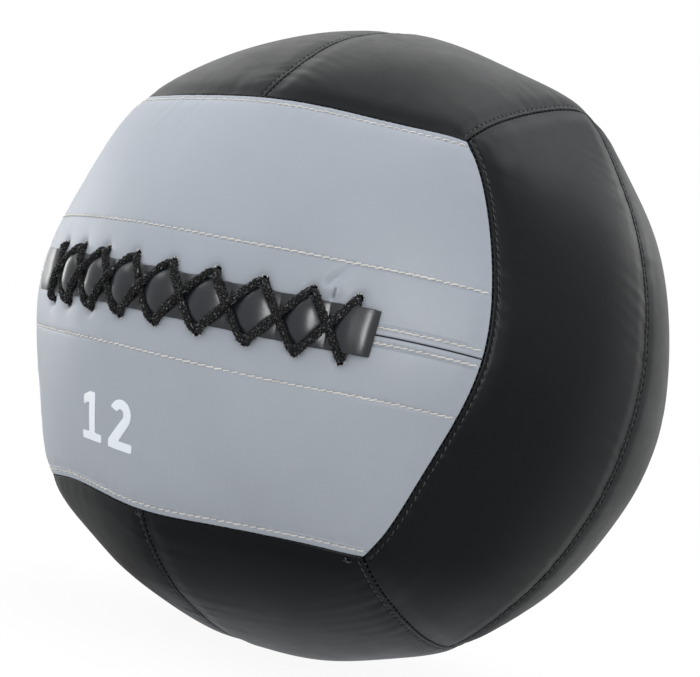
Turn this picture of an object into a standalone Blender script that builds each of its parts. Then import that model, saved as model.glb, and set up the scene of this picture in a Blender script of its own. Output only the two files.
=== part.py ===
"""A wall ball: a soft, heavy ball of twelve sewn vinyl panels with a laced closure.

The ball is a rounded cube of six faces, and each face is split in two halves by a seam. The split
seams of neighbouring faces are at right angles, so the twelve halves are alike. The front face is
grey and opens along its split seam: two facings carry nine pairs of lace holes, and one braided
cord, laced through them, holds the closure shut over a tongue strip. Inside are a lining bag, two
wads of fibre stuffing, and a bag of ballast at the middle.

Lengths are in metres. The front faces -Y, and +Z is up. The ball stands on z = 0, on the flat
that its own weight presses into it.
"""

import math

import bmesh
import bpy
from mathutils import Vector

# The shell
BALL_RADIUS = 0.175
WALL = 0.0020
REST_FLAT_DEPTH = 0.0020
SEAM_GAP = 0.0003
CLEARANCE = 0.0003
VALLEY_DEPTH = 0.0018
VALLEY_WIDTH = 0.0110
CORNER_RISE_SHARE = 0.025
JUNCTION_RISE_SHARE = 0.020
FULL_CORNER_RISE_SHARE = 0.037
FULL_JUNCTION_RISE_SHARE = 0.040
RISE_REACH_SHARE = 0.19
INNER_ROW = 0.0205
MIDDLE_ROW_SHARES = (1 / 3, 2 / 3)
COLUMN_SHARES = (0.0, 0.08, 0.30, 0.52, 0.73)

# The thread rows
THREAD_DIAMETER = 0.0007
STITCH_MARGIN = 0.0036

# The closure and its lacing
FACING_THICKNESS = 0.0012
FACING_STITCH_ROW = 0.0300
FACING_HEM = 0.0030
HOLE_PAIRS = 9
HOLE_PITCH = 0.0240
HOLE_ROW = 0.0162
HOLE_RADIUS = 0.0037
HOLE_SIDES = 8
TONGUE_HALF_LENGTH = 0.1100
TONGUE_HALF_WIDTH = 0.0110
TONGUE_THICKNESS = 0.0012
LACE_DIAMETER = 0.0038
LACE_GAP = 0.0005
STRAND_OFFSET = 0.00175
HOLE_PINCH_SHARE = 0.68
INSIDE_PINCH_SHARE = 0.79
KNOT_SHARE = 1.35
BEND_SHARES = ((0.0, 1.07, 0.0), (0.3, 0.53, 0.2), (0.75, 0.21, 0.6), (1.4, 0.0, 1.0))
KNOT_STEP_SHARES = ((0.6, 1.0), (1.3, 1.0), (1.7, 0.5))
HUMP_SHARE = 0.28
UNDER_POINTS = 3
OVER_POINTS = 7
LINK_POINTS = 3

# The filling
LINING_THICKNESS = 0.0012
MOUTH_HALF_LENGTH = 0.0800
MOUTH_HALF_HEIGHT = 0.0400
DENT_MARGIN = 0.0200
DENT_FADE = 0.0450
LINING_SEGMENTS = 24
LINING_RINGS = 12
BALLAST_RADIUS = 0.0750
BALLAST_BAG_WALL = 0.0015
NECK_RADIUS = 0.0080
NECK_LENGTH = 0.0220
TIE_DIAMETER = 0.0040
BALLAST_SEGMENTS = 16
BALLAST_RINGS = 8
OVERRUN = 0.0040

SEAM_SHARE = 1 / math.sqrt(3)
RING_SHARE = math.sqrt(1 - SEAM_SHARE ** 2)
REST_HEIGHT = BALL_RADIUS - REST_FLAT_DEPTH
OUTER_ARC = BALL_RADIUS * math.asin(SEAM_SHARE)
END_ANGLE = math.acos(SEAM_SHARE)
COLUMN_ANGLES = [share * END_ANGLE for share in COLUMN_SHARES]
COLUMN_SAG = BALL_RADIUS * (1 - math.cos(max(
    b - a for a, b in zip(COLUMN_ANGLES, COLUMN_ANGLES[1:])) / 2))
THREAD_LIFT = CLEARANCE + THREAD_DIAMETER / 2

# Radii from the ball's middle at which the lace runs
LACE_RADIUS = LACE_DIAMETER / 2
INSIDE_RADIUS = LACE_RADIUS * INSIDE_PINCH_SHARE
UNDER_RUN = BALL_RADIUS + CLEARANCE + TONGUE_THICKNESS + CLEARANCE + LACE_RADIUS
OVER_RUN = UNDER_RUN + LACE_DIAMETER + LACE_GAP
INNER_FACE = BALL_RADIUS - COLUMN_SAG - VALLEY_DEPTH - WALL - CLEARANCE
SHALLOW_LINK = INNER_FACE - FACING_THICKNESS - CLEARANCE - INSIDE_RADIUS
DEEP_LINK = SHALLOW_LINK - 2 * INSIDE_RADIUS - LACE_GAP
DENT_RUN = DEEP_LINK - INSIDE_RADIUS - CLEARANCE
LACE_REACH = OVER_RUN + LACE_RADIUS - BALL_RADIUS

# Normal, split direction and direction across the split of each face of the rounded cube
FACES = {
    "front": (Vector((0, -1, 0)), Vector((1, 0, 0)), Vector((0, 0, 1))),
    "rear": (Vector((0, 1, 0)), Vector((1, 0, 0)), Vector((0, 0, 1))),
    "right": (Vector((1, 0, 0)), Vector((0, 0, 1)), Vector((0, 1, 0))),
    "left": (Vector((-1, 0, 0)), Vector((0, 0, 1)), Vector((0, 1, 0))),
    "top": (Vector((0, 0, 1)), Vector((0, 1, 0)), Vector((1, 0, 0))),
    "bottom": (Vector((0, 0, -1)), Vector((0, 1, 0)), Vector((1, 0, 0))),
}

# Each half panel: its face, its side of the split seam, and its colour
PANELS = {
    "front_panel_upper": ("front", 1, "grey_vinyl"),
    "front_panel_lower": ("front", -1, "grey_vinyl"),
    "rear_panel_upper": ("rear", 1, "black_vinyl"),
    "rear_panel_lower": ("rear", -1, "black_vinyl"),
    "right_panel_front": ("right", -1, "black_vinyl"),
    "right_panel_rear": ("right", 1, "black_vinyl"),
    "left_panel_front": ("left", -1, "black_vinyl"),
    "left_panel_rear": ("left", 1, "black_vinyl"),
    "top_panel_left": ("top", -1, "black_vinyl"),
    "top_panel_right": ("top", 1, "black_vinyl"),
    "bottom_panel_left": ("bottom", -1, "black_vinyl"),
    "bottom_panel_right": ("bottom", 1, "black_vinyl"),
}

# The halves that carry the thread row beside their face's split seam
SPLIT_THREADS = {
    "closure_thread_upper": "front_panel_upper",
    "closure_thread_lower": "front_panel_lower",
    "rear_split_thread": "rear_panel_upper",
    "right_split_thread": "right_panel_rear",
    "left_split_thread": "left_panel_rear",
    "top_split_thread": "top_panel_left",
    "bottom_split_thread": "bottom_panel_left",
}

# Colour, roughness and metallic value of each material
MATERIALS = {
    "grey_vinyl": ((0.38, 0.40, 0.42), 0.45, 0.0),
    "black_vinyl": ((0.012, 0.012, 0.013), 0.38, 0.0),
    "tongue_vinyl": ((0.020, 0.020, 0.023), 0.22, 0.0),
    "lace_cord": ((0.010, 0.010, 0.010), 0.75, 0.0),
    "white_thread": ((0.80, 0.78, 0.74), 0.60, 0.0),
    "black_thread": ((0.015, 0.015, 0.015), 0.60, 0.0),
    "facing_canvas": ((0.20, 0.21, 0.22), 0.85, 0.0),
    "lining_cloth": ((0.05, 0.05, 0.06), 0.80, 0.0),
    "fibre": ((0.62, 0.60, 0.55), 0.95, 0.0),
    "ballast_canvas": ((0.42, 0.36, 0.26), 0.90, 0.0),
    "ballast_shot": ((0.16, 0.15, 0.14), 0.55, 0.6),
    "tie_cord": ((0.55, 0.50, 0.40), 0.80, 0.0),
}


# Scene set-up

def clear_scene():
    for item in list(bpy.data.objects):
        bpy.data.objects.remove(item, do_unlink=True)


def new_collection(name):
    collection = bpy.data.collections.new(name)
    bpy.context.scene.collection.children.link(collection)
    return collection


def make_materials():
    made = {}
    for name, (colour, roughness, metallic) in MATERIALS.items():
        material = bpy.data.materials.new(name)
        material.use_nodes = True
        shader = material.node_tree.nodes["Principled BSDF"]
        shader.inputs["Base Color"].default_value = (*colour, 1.0)
        shader.inputs["Roughness"].default_value = roughness
        shader.inputs["Metallic"].default_value = metallic
        made[name] = material
    return made


def add_object(name, data, material, parts):
    item = bpy.data.objects.new(name, data)
    item.parent = parts["centre"]
    parts["collection"].objects.link(item)
    if material:
        item.data.materials.append(parts["materials"][material])
    return item


def mesh_from_bmesh(name, work):
    mesh = bpy.data.meshes.new(name)
    work.to_mesh(mesh)
    work.free()
    mesh.shade_smooth()
    return mesh


def mesh_from_rows(name, rows, flip):
    """A sheet of quads through rows of points, facing out of the ball."""
    work = bmesh.new()
    grid = [[work.verts.new(point) for point in row] for row in rows]
    for low, high in zip(grid, grid[1:]):
        for i in range(len(low) - 1):
            corners = [low[i], low[i + 1], high[i + 1], high[i]]
            work.faces.new(corners[::-1] if flip else corners)
    work.normal_update()
    return mesh_from_bmesh(name, work)


def add_wall(item, thickness, offset):
    wall = item.modifiers.new("wall", "SOLIDIFY")
    wall.thickness = thickness
    wall.offset = offset
    wall.use_even_offset = False


def add_cut(item, cutter):
    cut = item.modifiers.new("cut", "BOOLEAN")
    cut.operation = "DIFFERENCE"
    cut.solver = "EXACT"
    cut.object = cutter


def add_cutter(name, work, parts):
    cutter = bpy.data.objects.new(name, mesh_from_bmesh(name, work))
    cutter.parent = parts["centre"]
    cutter.hide_render = True
    cutter.display_type = "WIRE"
    parts["cutters"].objects.link(cutter)
    return cutter


# The ball's surface

def seam_corners():
    """Directions of the eight corners and the twelve junctions of the seams, with their rises."""
    corners = []
    for x in (-1, 1):
        for y in (-1, 1):
            for z in (-1, 1):
                full = (x, y, z) == (-1, -1, -1)
                rise = FULL_CORNER_RISE_SHARE if full else CORNER_RISE_SHARE
                corners.append((Vector((x, y, z)) * SEAM_SHARE, rise))
    for normal, split, _ in FACES.values():
        for side in (-1, 1):
            direction = normal * SEAM_SHARE + split * side * RING_SHARE
            full = direction.x > 0 and direction.z > 0
            rise = FULL_JUNCTION_RISE_SHARE if full else JUNCTION_RISE_SHARE
            corners.append((direction, rise))
    return corners


CORNERS = seam_corners()


def crown_radius(direction):
    """Distance from the middle to the surface, before the seams draw it in."""
    radius = BALL_RADIUS
    for corner, rise in CORNERS:
        angle = direction.angle(corner)
        radius += BALL_RADIUS * rise * math.exp(-(angle / RISE_REACH_SHARE) ** 2)
    if direction.z < 0:
        radius = min(radius, REST_HEIGHT / -direction.z)
    return radius


def valley(distance):
    """How far a seam draws the surface in, at a distance from it."""
    share = min(abs(distance) / VALLEY_WIDTH, 1)
    return VALLEY_DEPTH * (1 - share ** 2) ** 2


def row_arcs():
    """Distances of a half panel's grid rows from its split seam.

    The inner row lies past the lace holes on the front, and within the rest flat at the bottom.
    """
    last = OUTER_ARC - VALLEY_WIDTH
    middle = [INNER_ROW + share * (last - INNER_ROW) for share in MIDDLE_ROW_SHARES]
    return [SEAM_GAP / 2, VALLEY_WIDTH, INNER_ROW] + middle + [last, OUTER_ARC - SEAM_GAP / 2]


ROW_ARCS = row_arcs()


def column_angles(arc):
    """Angles of the grid columns in a row, from the middle of the panel to its end.

    At the outer seam they meet the rows of the neighbouring face, so that both panels bend at the
    same points.
    """
    height = math.sin(arc / BALL_RADIUS)
    end = math.acos(SEAM_SHARE / math.sqrt(1 - height ** 2))
    outer_end = math.acos(SEAM_SHARE / RING_SHARE)
    inner = COLUMN_ANGLES + [END_ANGLE - VALLEY_WIDTH / BALL_RADIUS, END_ANGLE]
    angles = []
    for i, row in enumerate(ROW_ARCS):
        outer = math.asin(min(math.sin(row / BALL_RADIUS) / RING_SHARE, 1)) if i else 0
        blend = height / SEAM_SHARE
        share = (1 - blend) * inner[i] / END_ANGLE + blend * outer / outer_end
        angles.append(min(share, 1) * end)
    angles[-1] = end - SEAM_GAP / 2 / BALL_RADIUS
    return [-angle for angle in reversed(angles[1:])] + angles


def panel_point(face, side, arc, angle):
    """A point of a half panel's outer surface."""
    normal, split, across = FACES[face]
    height = math.sin(arc / BALL_RADIUS)
    ring = math.sqrt(1 - height ** 2)
    direction = (normal * math.cos(angle) + split * math.sin(angle)) * ring + across * side * height
    to_end = BALL_RADIUS * (END_ANGLE - math.acos(min(ring * math.cos(angle), 1)))
    depth = max(valley(arc), valley(OUTER_ARC - arc), valley(to_end))
    return direction * (crown_radius(direction) - depth)


def panel_rows(face, side):
    return [[panel_point(face, side, arc, angle) for angle in column_angles(arc)]
            for arc in ROW_ARCS]


def past_inner_row(arc):
    """Where an arc lies between the inner row and the next, as a share."""
    return (arc - ROW_ARCS[2]) / (ROW_ARCS[3] - ROW_ARCS[2])


def needs_flip(face, side):
    normal, split, across = FACES[face]
    return split.cross(across).dot(normal) * side < 0


def moved(point, lift):
    """The point moved away from the ball's middle."""
    return point * (1 + lift / point.length)


def between(low, high, share):
    return [a.lerp(b, share) for a, b in zip(low, high)]


def on_front(around, up, radius):
    """A point at arcs around and up from the middle of the front, on a sphere."""
    longitude = around / BALL_RADIUS
    latitude = up / BALL_RADIUS
    flat = radius * math.cos(latitude)
    return Vector((flat * math.sin(longitude), -flat * math.cos(longitude),
                   radius * math.sin(latitude)))


# The shell's panels, facings and tongue

def make_hole_cutter(side, parts):
    """One cutter with a row of octagonal posts, for a panel and for the facing behind it."""
    work = bmesh.new()
    top = BALL_RADIUS + OVERRUN
    foot = INNER_FACE - FACING_THICKNESS - OVERRUN
    for pair in range(HOLE_PAIRS):
        around = hole_around(pair)
        middle = on_front(around, side * HOLE_ROW, (top + foot) / 2)
        turn = middle.to_track_quat("Z", "Y").to_matrix().to_4x4()
        turn.translation = middle
        bmesh.ops.create_cone(work, cap_ends=True, segments=HOLE_SIDES, radius1=HOLE_RADIUS,
                              radius2=HOLE_RADIUS, depth=top - foot, matrix=turn)
    name = "holes_upper" if side > 0 else "holes_lower"
    return add_cutter(name, work, parts)


def hole_around(pair):
    return (pair - (HOLE_PAIRS - 1) / 2) * HOLE_PITCH


def make_panels(cutters, parts):
    for name, (face, side, material) in PANELS.items():
        mesh = mesh_from_rows(name, panel_rows(face, side), needs_flip(face, side))
        panel = add_object(name, mesh, material, parts)
        add_wall(panel, WALL, -1)
        if face == "front":
            add_cut(panel, cutters[side])


def make_facings(cutters, parts):
    """Strips behind the lace holes, from the closure to just past their thread rows."""
    share = past_inner_row(FACING_STITCH_ROW + FACING_HEM)
    for side, name in ((1, "facing_upper"), (-1, "facing_lower")):
        rows = panel_rows("front", side)
        rows = rows[:3] + [between(rows[2], rows[3], share)]
        rows = [[moved(point, -WALL - CLEARANCE) for point in row[1:-1]] for row in rows]
        mesh = mesh_from_rows(name, rows, needs_flip("front", side))
        facing = add_object(name, mesh, "facing_canvas", parts)
        add_wall(facing, FACING_THICKNESS, -1)
        add_cut(facing, cutters[side])


def row_point(row, longitude):
    """Where a row of points crosses a longitude, on the straight run between two of them."""
    slope = math.tan(longitude)
    for a, b in zip(row, row[1:]):
        if math.atan2(a.x, -a.y) <= longitude <= math.atan2(b.x, -b.y):
            return a.lerp(b, -(a.x + slope * a.y) / (b.x - a.x + slope * (b.y - a.y)))
    return row[-1] if longitude > 0 else row[0]


def make_tongue(parts):
    """The strip over the closure: it bends where the shell does and spans the seam's valley."""
    edge = panel_rows("front", 1)[1]
    end = TONGUE_HALF_LENGTH / BALL_RADIUS
    longitudes = [math.atan2(point.x, -point.y) for point in edge]
    inside = [longitude for longitude in longitudes if abs(longitude) < end]
    rows = [[], [], []]
    for longitude in [-end] + inside + [end]:
        radius = row_point(edge, longitude).length + CLEARANCE
        for row, side in zip(rows, (-1, 0, 1)):
            row.append(on_front(longitude * BALL_RADIUS, side * TONGUE_HALF_WIDTH, radius))
    tongue = add_object("tongue_strip", mesh_from_rows("tongue_strip", rows, False),
                        "tongue_vinyl", parts)
    add_wall(tongue, TONGUE_THICKNESS, 1)


# Tubes: the thread rows and the lace

def add_tube(name, points, radii, diameter, sides, material, parts):
    curve = bpy.data.curves.new(name, "CURVE")
    curve.dimensions = "3D"
    curve.bevel_depth = diameter / 2
    curve.bevel_resolution = sides
    curve.use_fill_caps = True
    spline = curve.splines.new("POLY")
    spline.points.add(len(points) - 1)
    for target, point, radius in zip(spline.points, points, radii):
        target.co = (*point, 1.0)
        target.radius = radius
    return add_object(name, curve, material, parts)


def twists(low, high):
    """How far each quad between two grid rows is from flat, seen from the ball's middle."""
    result = [0.0]
    for i in range(len(low) - 1):
        twist = low[i] - low[i + 1] - high[i] + high[i + 1]
        result.append(abs(twist.dot(low[i].normalized())))
    return result + [0.0]


def add_thread(name, low, high, share, material, parts):
    """A thread row at a share of the way from one grid row to the next, clear of bent quads."""
    bends = twists(low, high)
    points = []
    for i, point in enumerate(between(low, high, share)):
        bend = max(bends[i], bends[i + 1]) * share * (1 - share)
        points.append(moved(point, THREAD_LIFT + bend))
    add_tube(name, points, [1.0] * len(points), THREAD_DIAMETER, 1, material, parts)


def make_threads(parts):
    """A row beside each outer seam, beside the split seams, and along both facings."""
    for panel, (face, side, material) in PANELS.items():
        thread = "white_thread" if material == "grey_vinyl" else "black_thread"
        rows = panel_rows(face, side)
        share = STITCH_MARGIN / VALLEY_WIDTH
        name = panel.replace("_panel", "") + "_edge_thread"
        add_thread(name, rows[-1], rows[-2], share, thread, parts)
        for name, owner in SPLIT_THREADS.items():
            if owner == panel:
                add_thread(name, rows[0], rows[1], share, thread, parts)
        if face == "front":
            name = "facing_thread_upper" if side > 0 else "facing_thread_lower"
            add_thread(name, rows[2], rows[3], past_inner_row(FACING_STITCH_ROW), thread, parts)


def bend_points(around, up, toward, run, outward):
    """Points where the lace turns from a hole into a run, from the hole on.

    toward is the run's direction as arcs around and up. outward is 1 for a run over the shell
    and -1 for a run behind it.
    """
    length = math.hypot(*toward)
    run_share = 1.0 if outward > 0 else INSIDE_PINCH_SHARE
    points = []
    for along, drop, swell in BEND_SHARES:
        step = along * LACE_DIAMETER / length
        place = on_front(around + toward[0] * step, up + toward[1] * step,
                         run - outward * drop * LACE_DIAMETER)
        points.append((place, HOLE_PINCH_SHARE + (run_share - HOLE_PINCH_SHARE) * swell))
    return points


def lace_run(start, end, run, hump, count, outward):
    """A run of the lace from hole to hole, with a hump of a given height halfway."""
    toward = (end[0] - start[0], end[1] - start[1])
    back = (-toward[0], -toward[1])
    skip = BEND_SHARES[-1][0] * LACE_DIAMETER / math.hypot(*toward)
    middle = []
    for i in range(count):
        share = skip + (1 - 2 * skip) * (i + 1) / (count + 1)
        off = min(abs(share - 1 / 2) / HUMP_SHARE, 1)
        radius = run + hump * math.cos(off * math.pi / 2) ** 2
        place = on_front(start[0] + toward[0] * share, start[1] + toward[1] * share, radius)
        middle.append((place, 1.0 if outward > 0 else INSIDE_PINCH_SHARE))
    first = bend_points(*start, toward, run, outward)
    last = bend_points(*end, back, run, outward)
    return first + middle + last[::-1]


def lace_tail(start, up_sign):
    """The cord's end behind the last hole, turned to the closure and knotted."""
    toward = (0, -up_sign)
    points = bend_points(*start, toward, SHALLOW_LINK, -1)
    knot_radius = KNOT_SHARE * LACE_RADIUS
    run = SHALLOW_LINK + INSIDE_RADIUS - knot_radius
    reach = BEND_SHARES[-1][0] * LACE_DIAMETER
    for along, size in KNOT_STEP_SHARES:
        up = start[1] - up_sign * (reach + along * LACE_DIAMETER)
        points.append((on_front(start[0], up, run), KNOT_SHARE * size))
    return points


def strand_place(pair, side, half):
    """Where a strand goes through a hole: in its left or right half, or alone in the middle."""
    alone = pair in (0, HOLE_PAIRS - 1)
    return (hole_around(pair) + (0 if alone else half * STRAND_OFFSET), side * HOLE_ROW)


def lace_route():
    """The whole cord: down the falling strands to the left, then back up the rising ones."""
    last = HOLE_PAIRS - 1
    points = lace_tail(strand_place(last, -1, 0), -1)[::-1]
    for pair in range(last - 1, -1, -1):
        low = strand_place(pair + 1, -1, -1)
        high = strand_place(pair, 1, 1)
        points += lace_run(low, high, UNDER_RUN, 0, UNDER_POINTS, 1)
        inner_end = strand_place(pair, -1, -1)
        points += lace_run(high, inner_end, SHALLOW_LINK, 0, LINK_POINTS, -1) if pair else []
    first_high = strand_place(0, 1, 1)
    first_low = strand_place(0, -1, 1)
    points += lace_run(first_high, first_low, SHALLOW_LINK, 0, LINK_POINTS, -1)
    for pair in range(last):
        low = strand_place(pair, -1, 1)
        high = strand_place(pair + 1, 1, -1)
        points += lace_run(low, high, UNDER_RUN, OVER_RUN - UNDER_RUN, OVER_POINTS, 1)
        if pair + 1 < last:
            inner_end = strand_place(pair + 1, -1, 1)
            points += lace_run(high, inner_end, DEEP_LINK, 0, LINK_POINTS, -1)
    return points + lace_tail(strand_place(last, 1, 0), 1)


def least_self_gap(points):
    """Smallest gap between parts of the cord that are not neighbours along it."""
    places = [place for place, _ in points]
    travel = [0.0]
    for a, b in zip(places, places[1:]):
        travel.append(travel[-1] + (b - a).length)
    least = math.inf
    for i, (a, size_a) in enumerate(points):
        for j in range(i + 1, len(points)):
            if travel[j] - travel[i] > 3 * LACE_DIAMETER:
                b, size_b = points[j]
                gap = (a - b).length - (size_a + size_b) * LACE_RADIUS
                least = min(least, gap)
    return least, travel[-1]


def make_lace(parts):
    route = lace_route()
    gap, length = least_self_gap(route)
    print(f"lace: {len(route)} points, {length:.3f} m long, least gap to itself {gap * 1000:.2f} mm")
    add_tube("lace", [place for place, _ in route], [size for _, size in route], LACE_DIAMETER, 1,
             "lace_cord", parts)


# The filling

def smooth_share(value):
    value = min(max(value, 0), 1)
    return value * value * (3 - 2 * value)


def filling_radius(direction, inset):
    """Radius of the lining and of what fills it: below the seams, dented behind the lacing."""
    around = BALL_RADIUS * abs(math.atan2(direction.x, -direction.y))
    up = BALL_RADIUS * abs(math.asin(max(-1, min(1, direction.z))))
    lace_end = hole_around(HOLE_PAIRS - 1) + HOLE_RADIUS + DENT_MARGIN
    beside = max((around - lace_end) / DENT_FADE,
                 (up - HOLE_ROW - HOLE_RADIUS - DENT_MARGIN) / DENT_FADE)
    radius = INNER_FACE - (INNER_FACE - DENT_RUN) * (1 - smooth_share(beside))
    floor = REST_HEIGHT - VALLEY_DEPTH - WALL - CLEARANCE
    if direction.z < 0:
        radius = min(radius, floor / -direction.z)
    return radius - inset


def filling_bmesh(inset):
    work = bmesh.new()
    bmesh.ops.create_uvsphere(work, u_segments=LINING_SEGMENTS, v_segments=LINING_RINGS, radius=1)
    for vert in work.verts:
        direction = vert.co.normalized()
        vert.co = direction * filling_radius(direction, inset)
    return work


def make_lining(parts):
    """The lining bag: its mouth lies behind the lacing."""
    work = filling_bmesh(0)
    mouth = []
    for face in work.faces:
        middle = face.calc_center_median()
        around = BALL_RADIUS * abs(math.atan2(middle.x, -middle.y))
        up = BALL_RADIUS * abs(math.asin(middle.z / middle.length))
        if around < MOUTH_HALF_LENGTH and up < MOUTH_HALF_HEIGHT:
            mouth.append(face)
    bmesh.ops.delete(work, geom=mouth, context="FACES")
    lining = add_object("lining_bag", mesh_from_bmesh("lining_bag", work), "lining_cloth", parts)
    add_wall(lining, LINING_THICKNESS, -1)


def make_ballast_cavity(parts):
    """The room that the stuffing leaves for the ballast bag, its neck and the tie."""
    ball = bmesh.new()
    bmesh.ops.create_uvsphere(ball, u_segments=BALLAST_SEGMENTS, v_segments=BALLAST_RINGS,
                              radius=BALLAST_RADIUS + CLEARANCE)
    ball_cutter = add_cutter("ballast_cavity", ball, parts)
    neck = bmesh.new()
    top = BALLAST_RADIUS + NECK_LENGTH + CLEARANCE
    bottom = BALLAST_RADIUS * math.cos(math.pi / BALLAST_RINGS) - OVERRUN
    shoulder = BALLAST_RADIUS * math.sin(math.pi / BALLAST_RINGS)
    room = max(shoulder, NECK_RADIUS + TIE_DIAMETER) + OVERRUN
    bmesh.ops.create_cone(neck, cap_ends=True, segments=BALLAST_SEGMENTS, radius1=room,
                          radius2=room, depth=top - bottom)
    bmesh.ops.translate(neck, verts=neck.verts, vec=(0, 0, (top + bottom) / 2))
    return ball_cutter, add_cutter("neck_cavity", neck, parts)


def make_stuffing(parts):
    """Two wads of fibre, packed round the ballast bag from the front and from the rear."""
    cavities = make_ballast_cavity(parts)
    for side, name in ((-1, "stuffing_front"), (1, "stuffing_rear")):
        work = filling_bmesh(LINING_THICKNESS + CLEARANCE)
        wad = add_object(name, mesh_from_bmesh(name, work), "fibre", parts)
        block = bmesh.new()
        size = 2 * (BALL_RADIUS + OVERRUN)
        bmesh.ops.create_cube(block, size=size)
        shift = side * (SEAM_GAP / 2 - size / 2)
        bmesh.ops.translate(block, verts=block.verts, vec=(0, shift, 0))
        add_cut(wad, add_cutter(name + "_half", block, parts))
        for cavity in cavities:
            add_cut(wad, cavity)


def make_ballast_bag(parts):
    """A turned canvas bag: a sphere that gathers into an open neck at its top."""
    neck_angle = math.asin(NECK_RADIUS / BALLAST_RADIUS)
    work = bmesh.new()
    angles = [math.pi * ring / BALLAST_RINGS for ring in range(1, BALLAST_RINGS + 1)]
    profile = [Vector((NECK_RADIUS, 0, BALLAST_RADIUS + NECK_LENGTH))]
    for angle in [neck_angle] + [angle for angle in angles if angle > neck_angle]:
        profile.append(Vector((BALLAST_RADIUS * math.sin(angle), 0,
                               BALLAST_RADIUS * math.cos(angle))))
    profile[-1].x = 0
    verts = [work.verts.new(point) for point in profile]
    for a, b in zip(verts, verts[1:]):
        work.edges.new((a, b))
    bag = add_object("ballast_bag", mesh_from_bmesh("ballast_bag", work), "ballast_canvas", parts)
    turn = bag.modifiers.new("turn", "SCREW")
    turn.steps = BALLAST_SEGMENTS
    turn.render_steps = BALLAST_SEGMENTS
    turn.use_merge_vertices = True
    turn.merge_threshold = 0.00001
    add_wall(bag, BALLAST_BAG_WALL, -1)


def make_ballast(parts):
    work = bmesh.new()
    bmesh.ops.create_uvsphere(work, u_segments=BALLAST_SEGMENTS, v_segments=BALLAST_RINGS,
                              radius=BALLAST_RADIUS - BALLAST_BAG_WALL - CLEARANCE)
    add_object("ballast", mesh_from_bmesh("ballast", work), "ballast_shot", parts)


def make_tie(parts):
    bpy.ops.mesh.primitive_torus_add(
        major_radius=NECK_RADIUS + CLEARANCE + TIE_DIAMETER / 2, minor_radius=TIE_DIAMETER / 2,
        major_segments=BALLAST_SEGMENTS, minor_segments=6)
    tie = bpy.context.active_object
    tie.name = "ballast_tie"
    for collection in list(tie.users_collection):
        collection.objects.unlink(tie)
    parts["collection"].objects.link(tie)
    tie.parent = parts["centre"]
    tie.location = (0, 0, BALLAST_RADIUS + NECK_LENGTH / 2)
    tie.data.materials.append(parts["materials"]["tie_cord"])
    tie.data.shade_smooth()


def main():
    clear_scene()
    centre = bpy.data.objects.new("ball_centre", None)
    centre.location = (0, LACE_REACH / 2, REST_HEIGHT)
    parts = {
        "centre": centre,
        "collection": new_collection("wall_ball"),
        "cutters": new_collection("cutters"),
        "materials": make_materials(),
    }
    parts["collection"].objects.link(centre)
    cutters = {side: make_hole_cutter(side, parts) for side in (1, -1)}
    make_panels(cutters, parts)
    make_facings(cutters, parts)
    make_tongue(parts)
    make_threads(parts)
    make_lace(parts)
    make_lining(parts)
    make_stuffing(parts)
    make_ballast_bag(parts)
    make_ballast(parts)
    make_tie(parts)


main()
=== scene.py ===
import math

import bmesh
import bpy
import numpy as np
from mathutils import Matrix, Vector


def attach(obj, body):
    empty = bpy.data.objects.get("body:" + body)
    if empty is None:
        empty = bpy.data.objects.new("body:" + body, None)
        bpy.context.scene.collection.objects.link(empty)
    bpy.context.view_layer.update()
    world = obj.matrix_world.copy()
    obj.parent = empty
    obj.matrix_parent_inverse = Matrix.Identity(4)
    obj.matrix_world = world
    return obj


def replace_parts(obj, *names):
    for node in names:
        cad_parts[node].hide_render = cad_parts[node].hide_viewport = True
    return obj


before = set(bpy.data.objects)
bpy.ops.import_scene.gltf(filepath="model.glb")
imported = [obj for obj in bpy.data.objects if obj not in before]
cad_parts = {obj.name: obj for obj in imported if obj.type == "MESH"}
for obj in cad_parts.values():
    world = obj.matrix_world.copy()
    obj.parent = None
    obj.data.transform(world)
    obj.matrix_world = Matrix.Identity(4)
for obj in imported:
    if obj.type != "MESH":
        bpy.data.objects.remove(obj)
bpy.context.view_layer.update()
scene = bpy.context.scene

# The ball. Everything is worked out round its middle and moved there at the end
ball = {
    "radius": 0.175,
    "middle": (0.0, 0.00495, 0.1730),
    "floorBelow": 0.1730,            # from the middle down to the flat that it stands on
    "cornerRise": 0.025,             # where three panels meet, as a share of the radius
    "junctionRise": 0.020,           # where a split seam ends
    "fullCornerRise": 0.037,
    "fullJunctionRise": 0.040,
    "riseReach": 0.19,
    "unevenness": 0.00035,
    "unevenLengths": (0.045, 0.120),
    "flatRim": 0.0005,               # how softly the rest flat's rim is rounded
}
seamShare = 1 / math.sqrt(3)
ringShare = math.sqrt(1 - seamShare ** 2)
outerArc = ball["radius"] * math.asin(seamShare)
endAngle = math.acos(seamShare)
middle = np.array(ball["middle"])

# Normal, split direction and direction across the split of the six faces
faces = {
    "front": ((0, -1, 0), (1, 0, 0), (0, 0, 1)),
    "rear": ((0, 1, 0), (1, 0, 0), (0, 0, 1)),
    "right": ((1, 0, 0), (0, 0, 1), (0, 1, 0)),
    "left": ((-1, 0, 0), (0, 0, 1), (0, 1, 0)),
    "top": ((0, 0, 1), (0, 1, 0), (1, 0, 0)),
    "bottom": ((0, 0, -1), (0, 1, 0), (1, 0, 0)),
}
faces = {name: [np.array(axis, float) for axis in axes] for name, axes in faces.items()}

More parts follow.
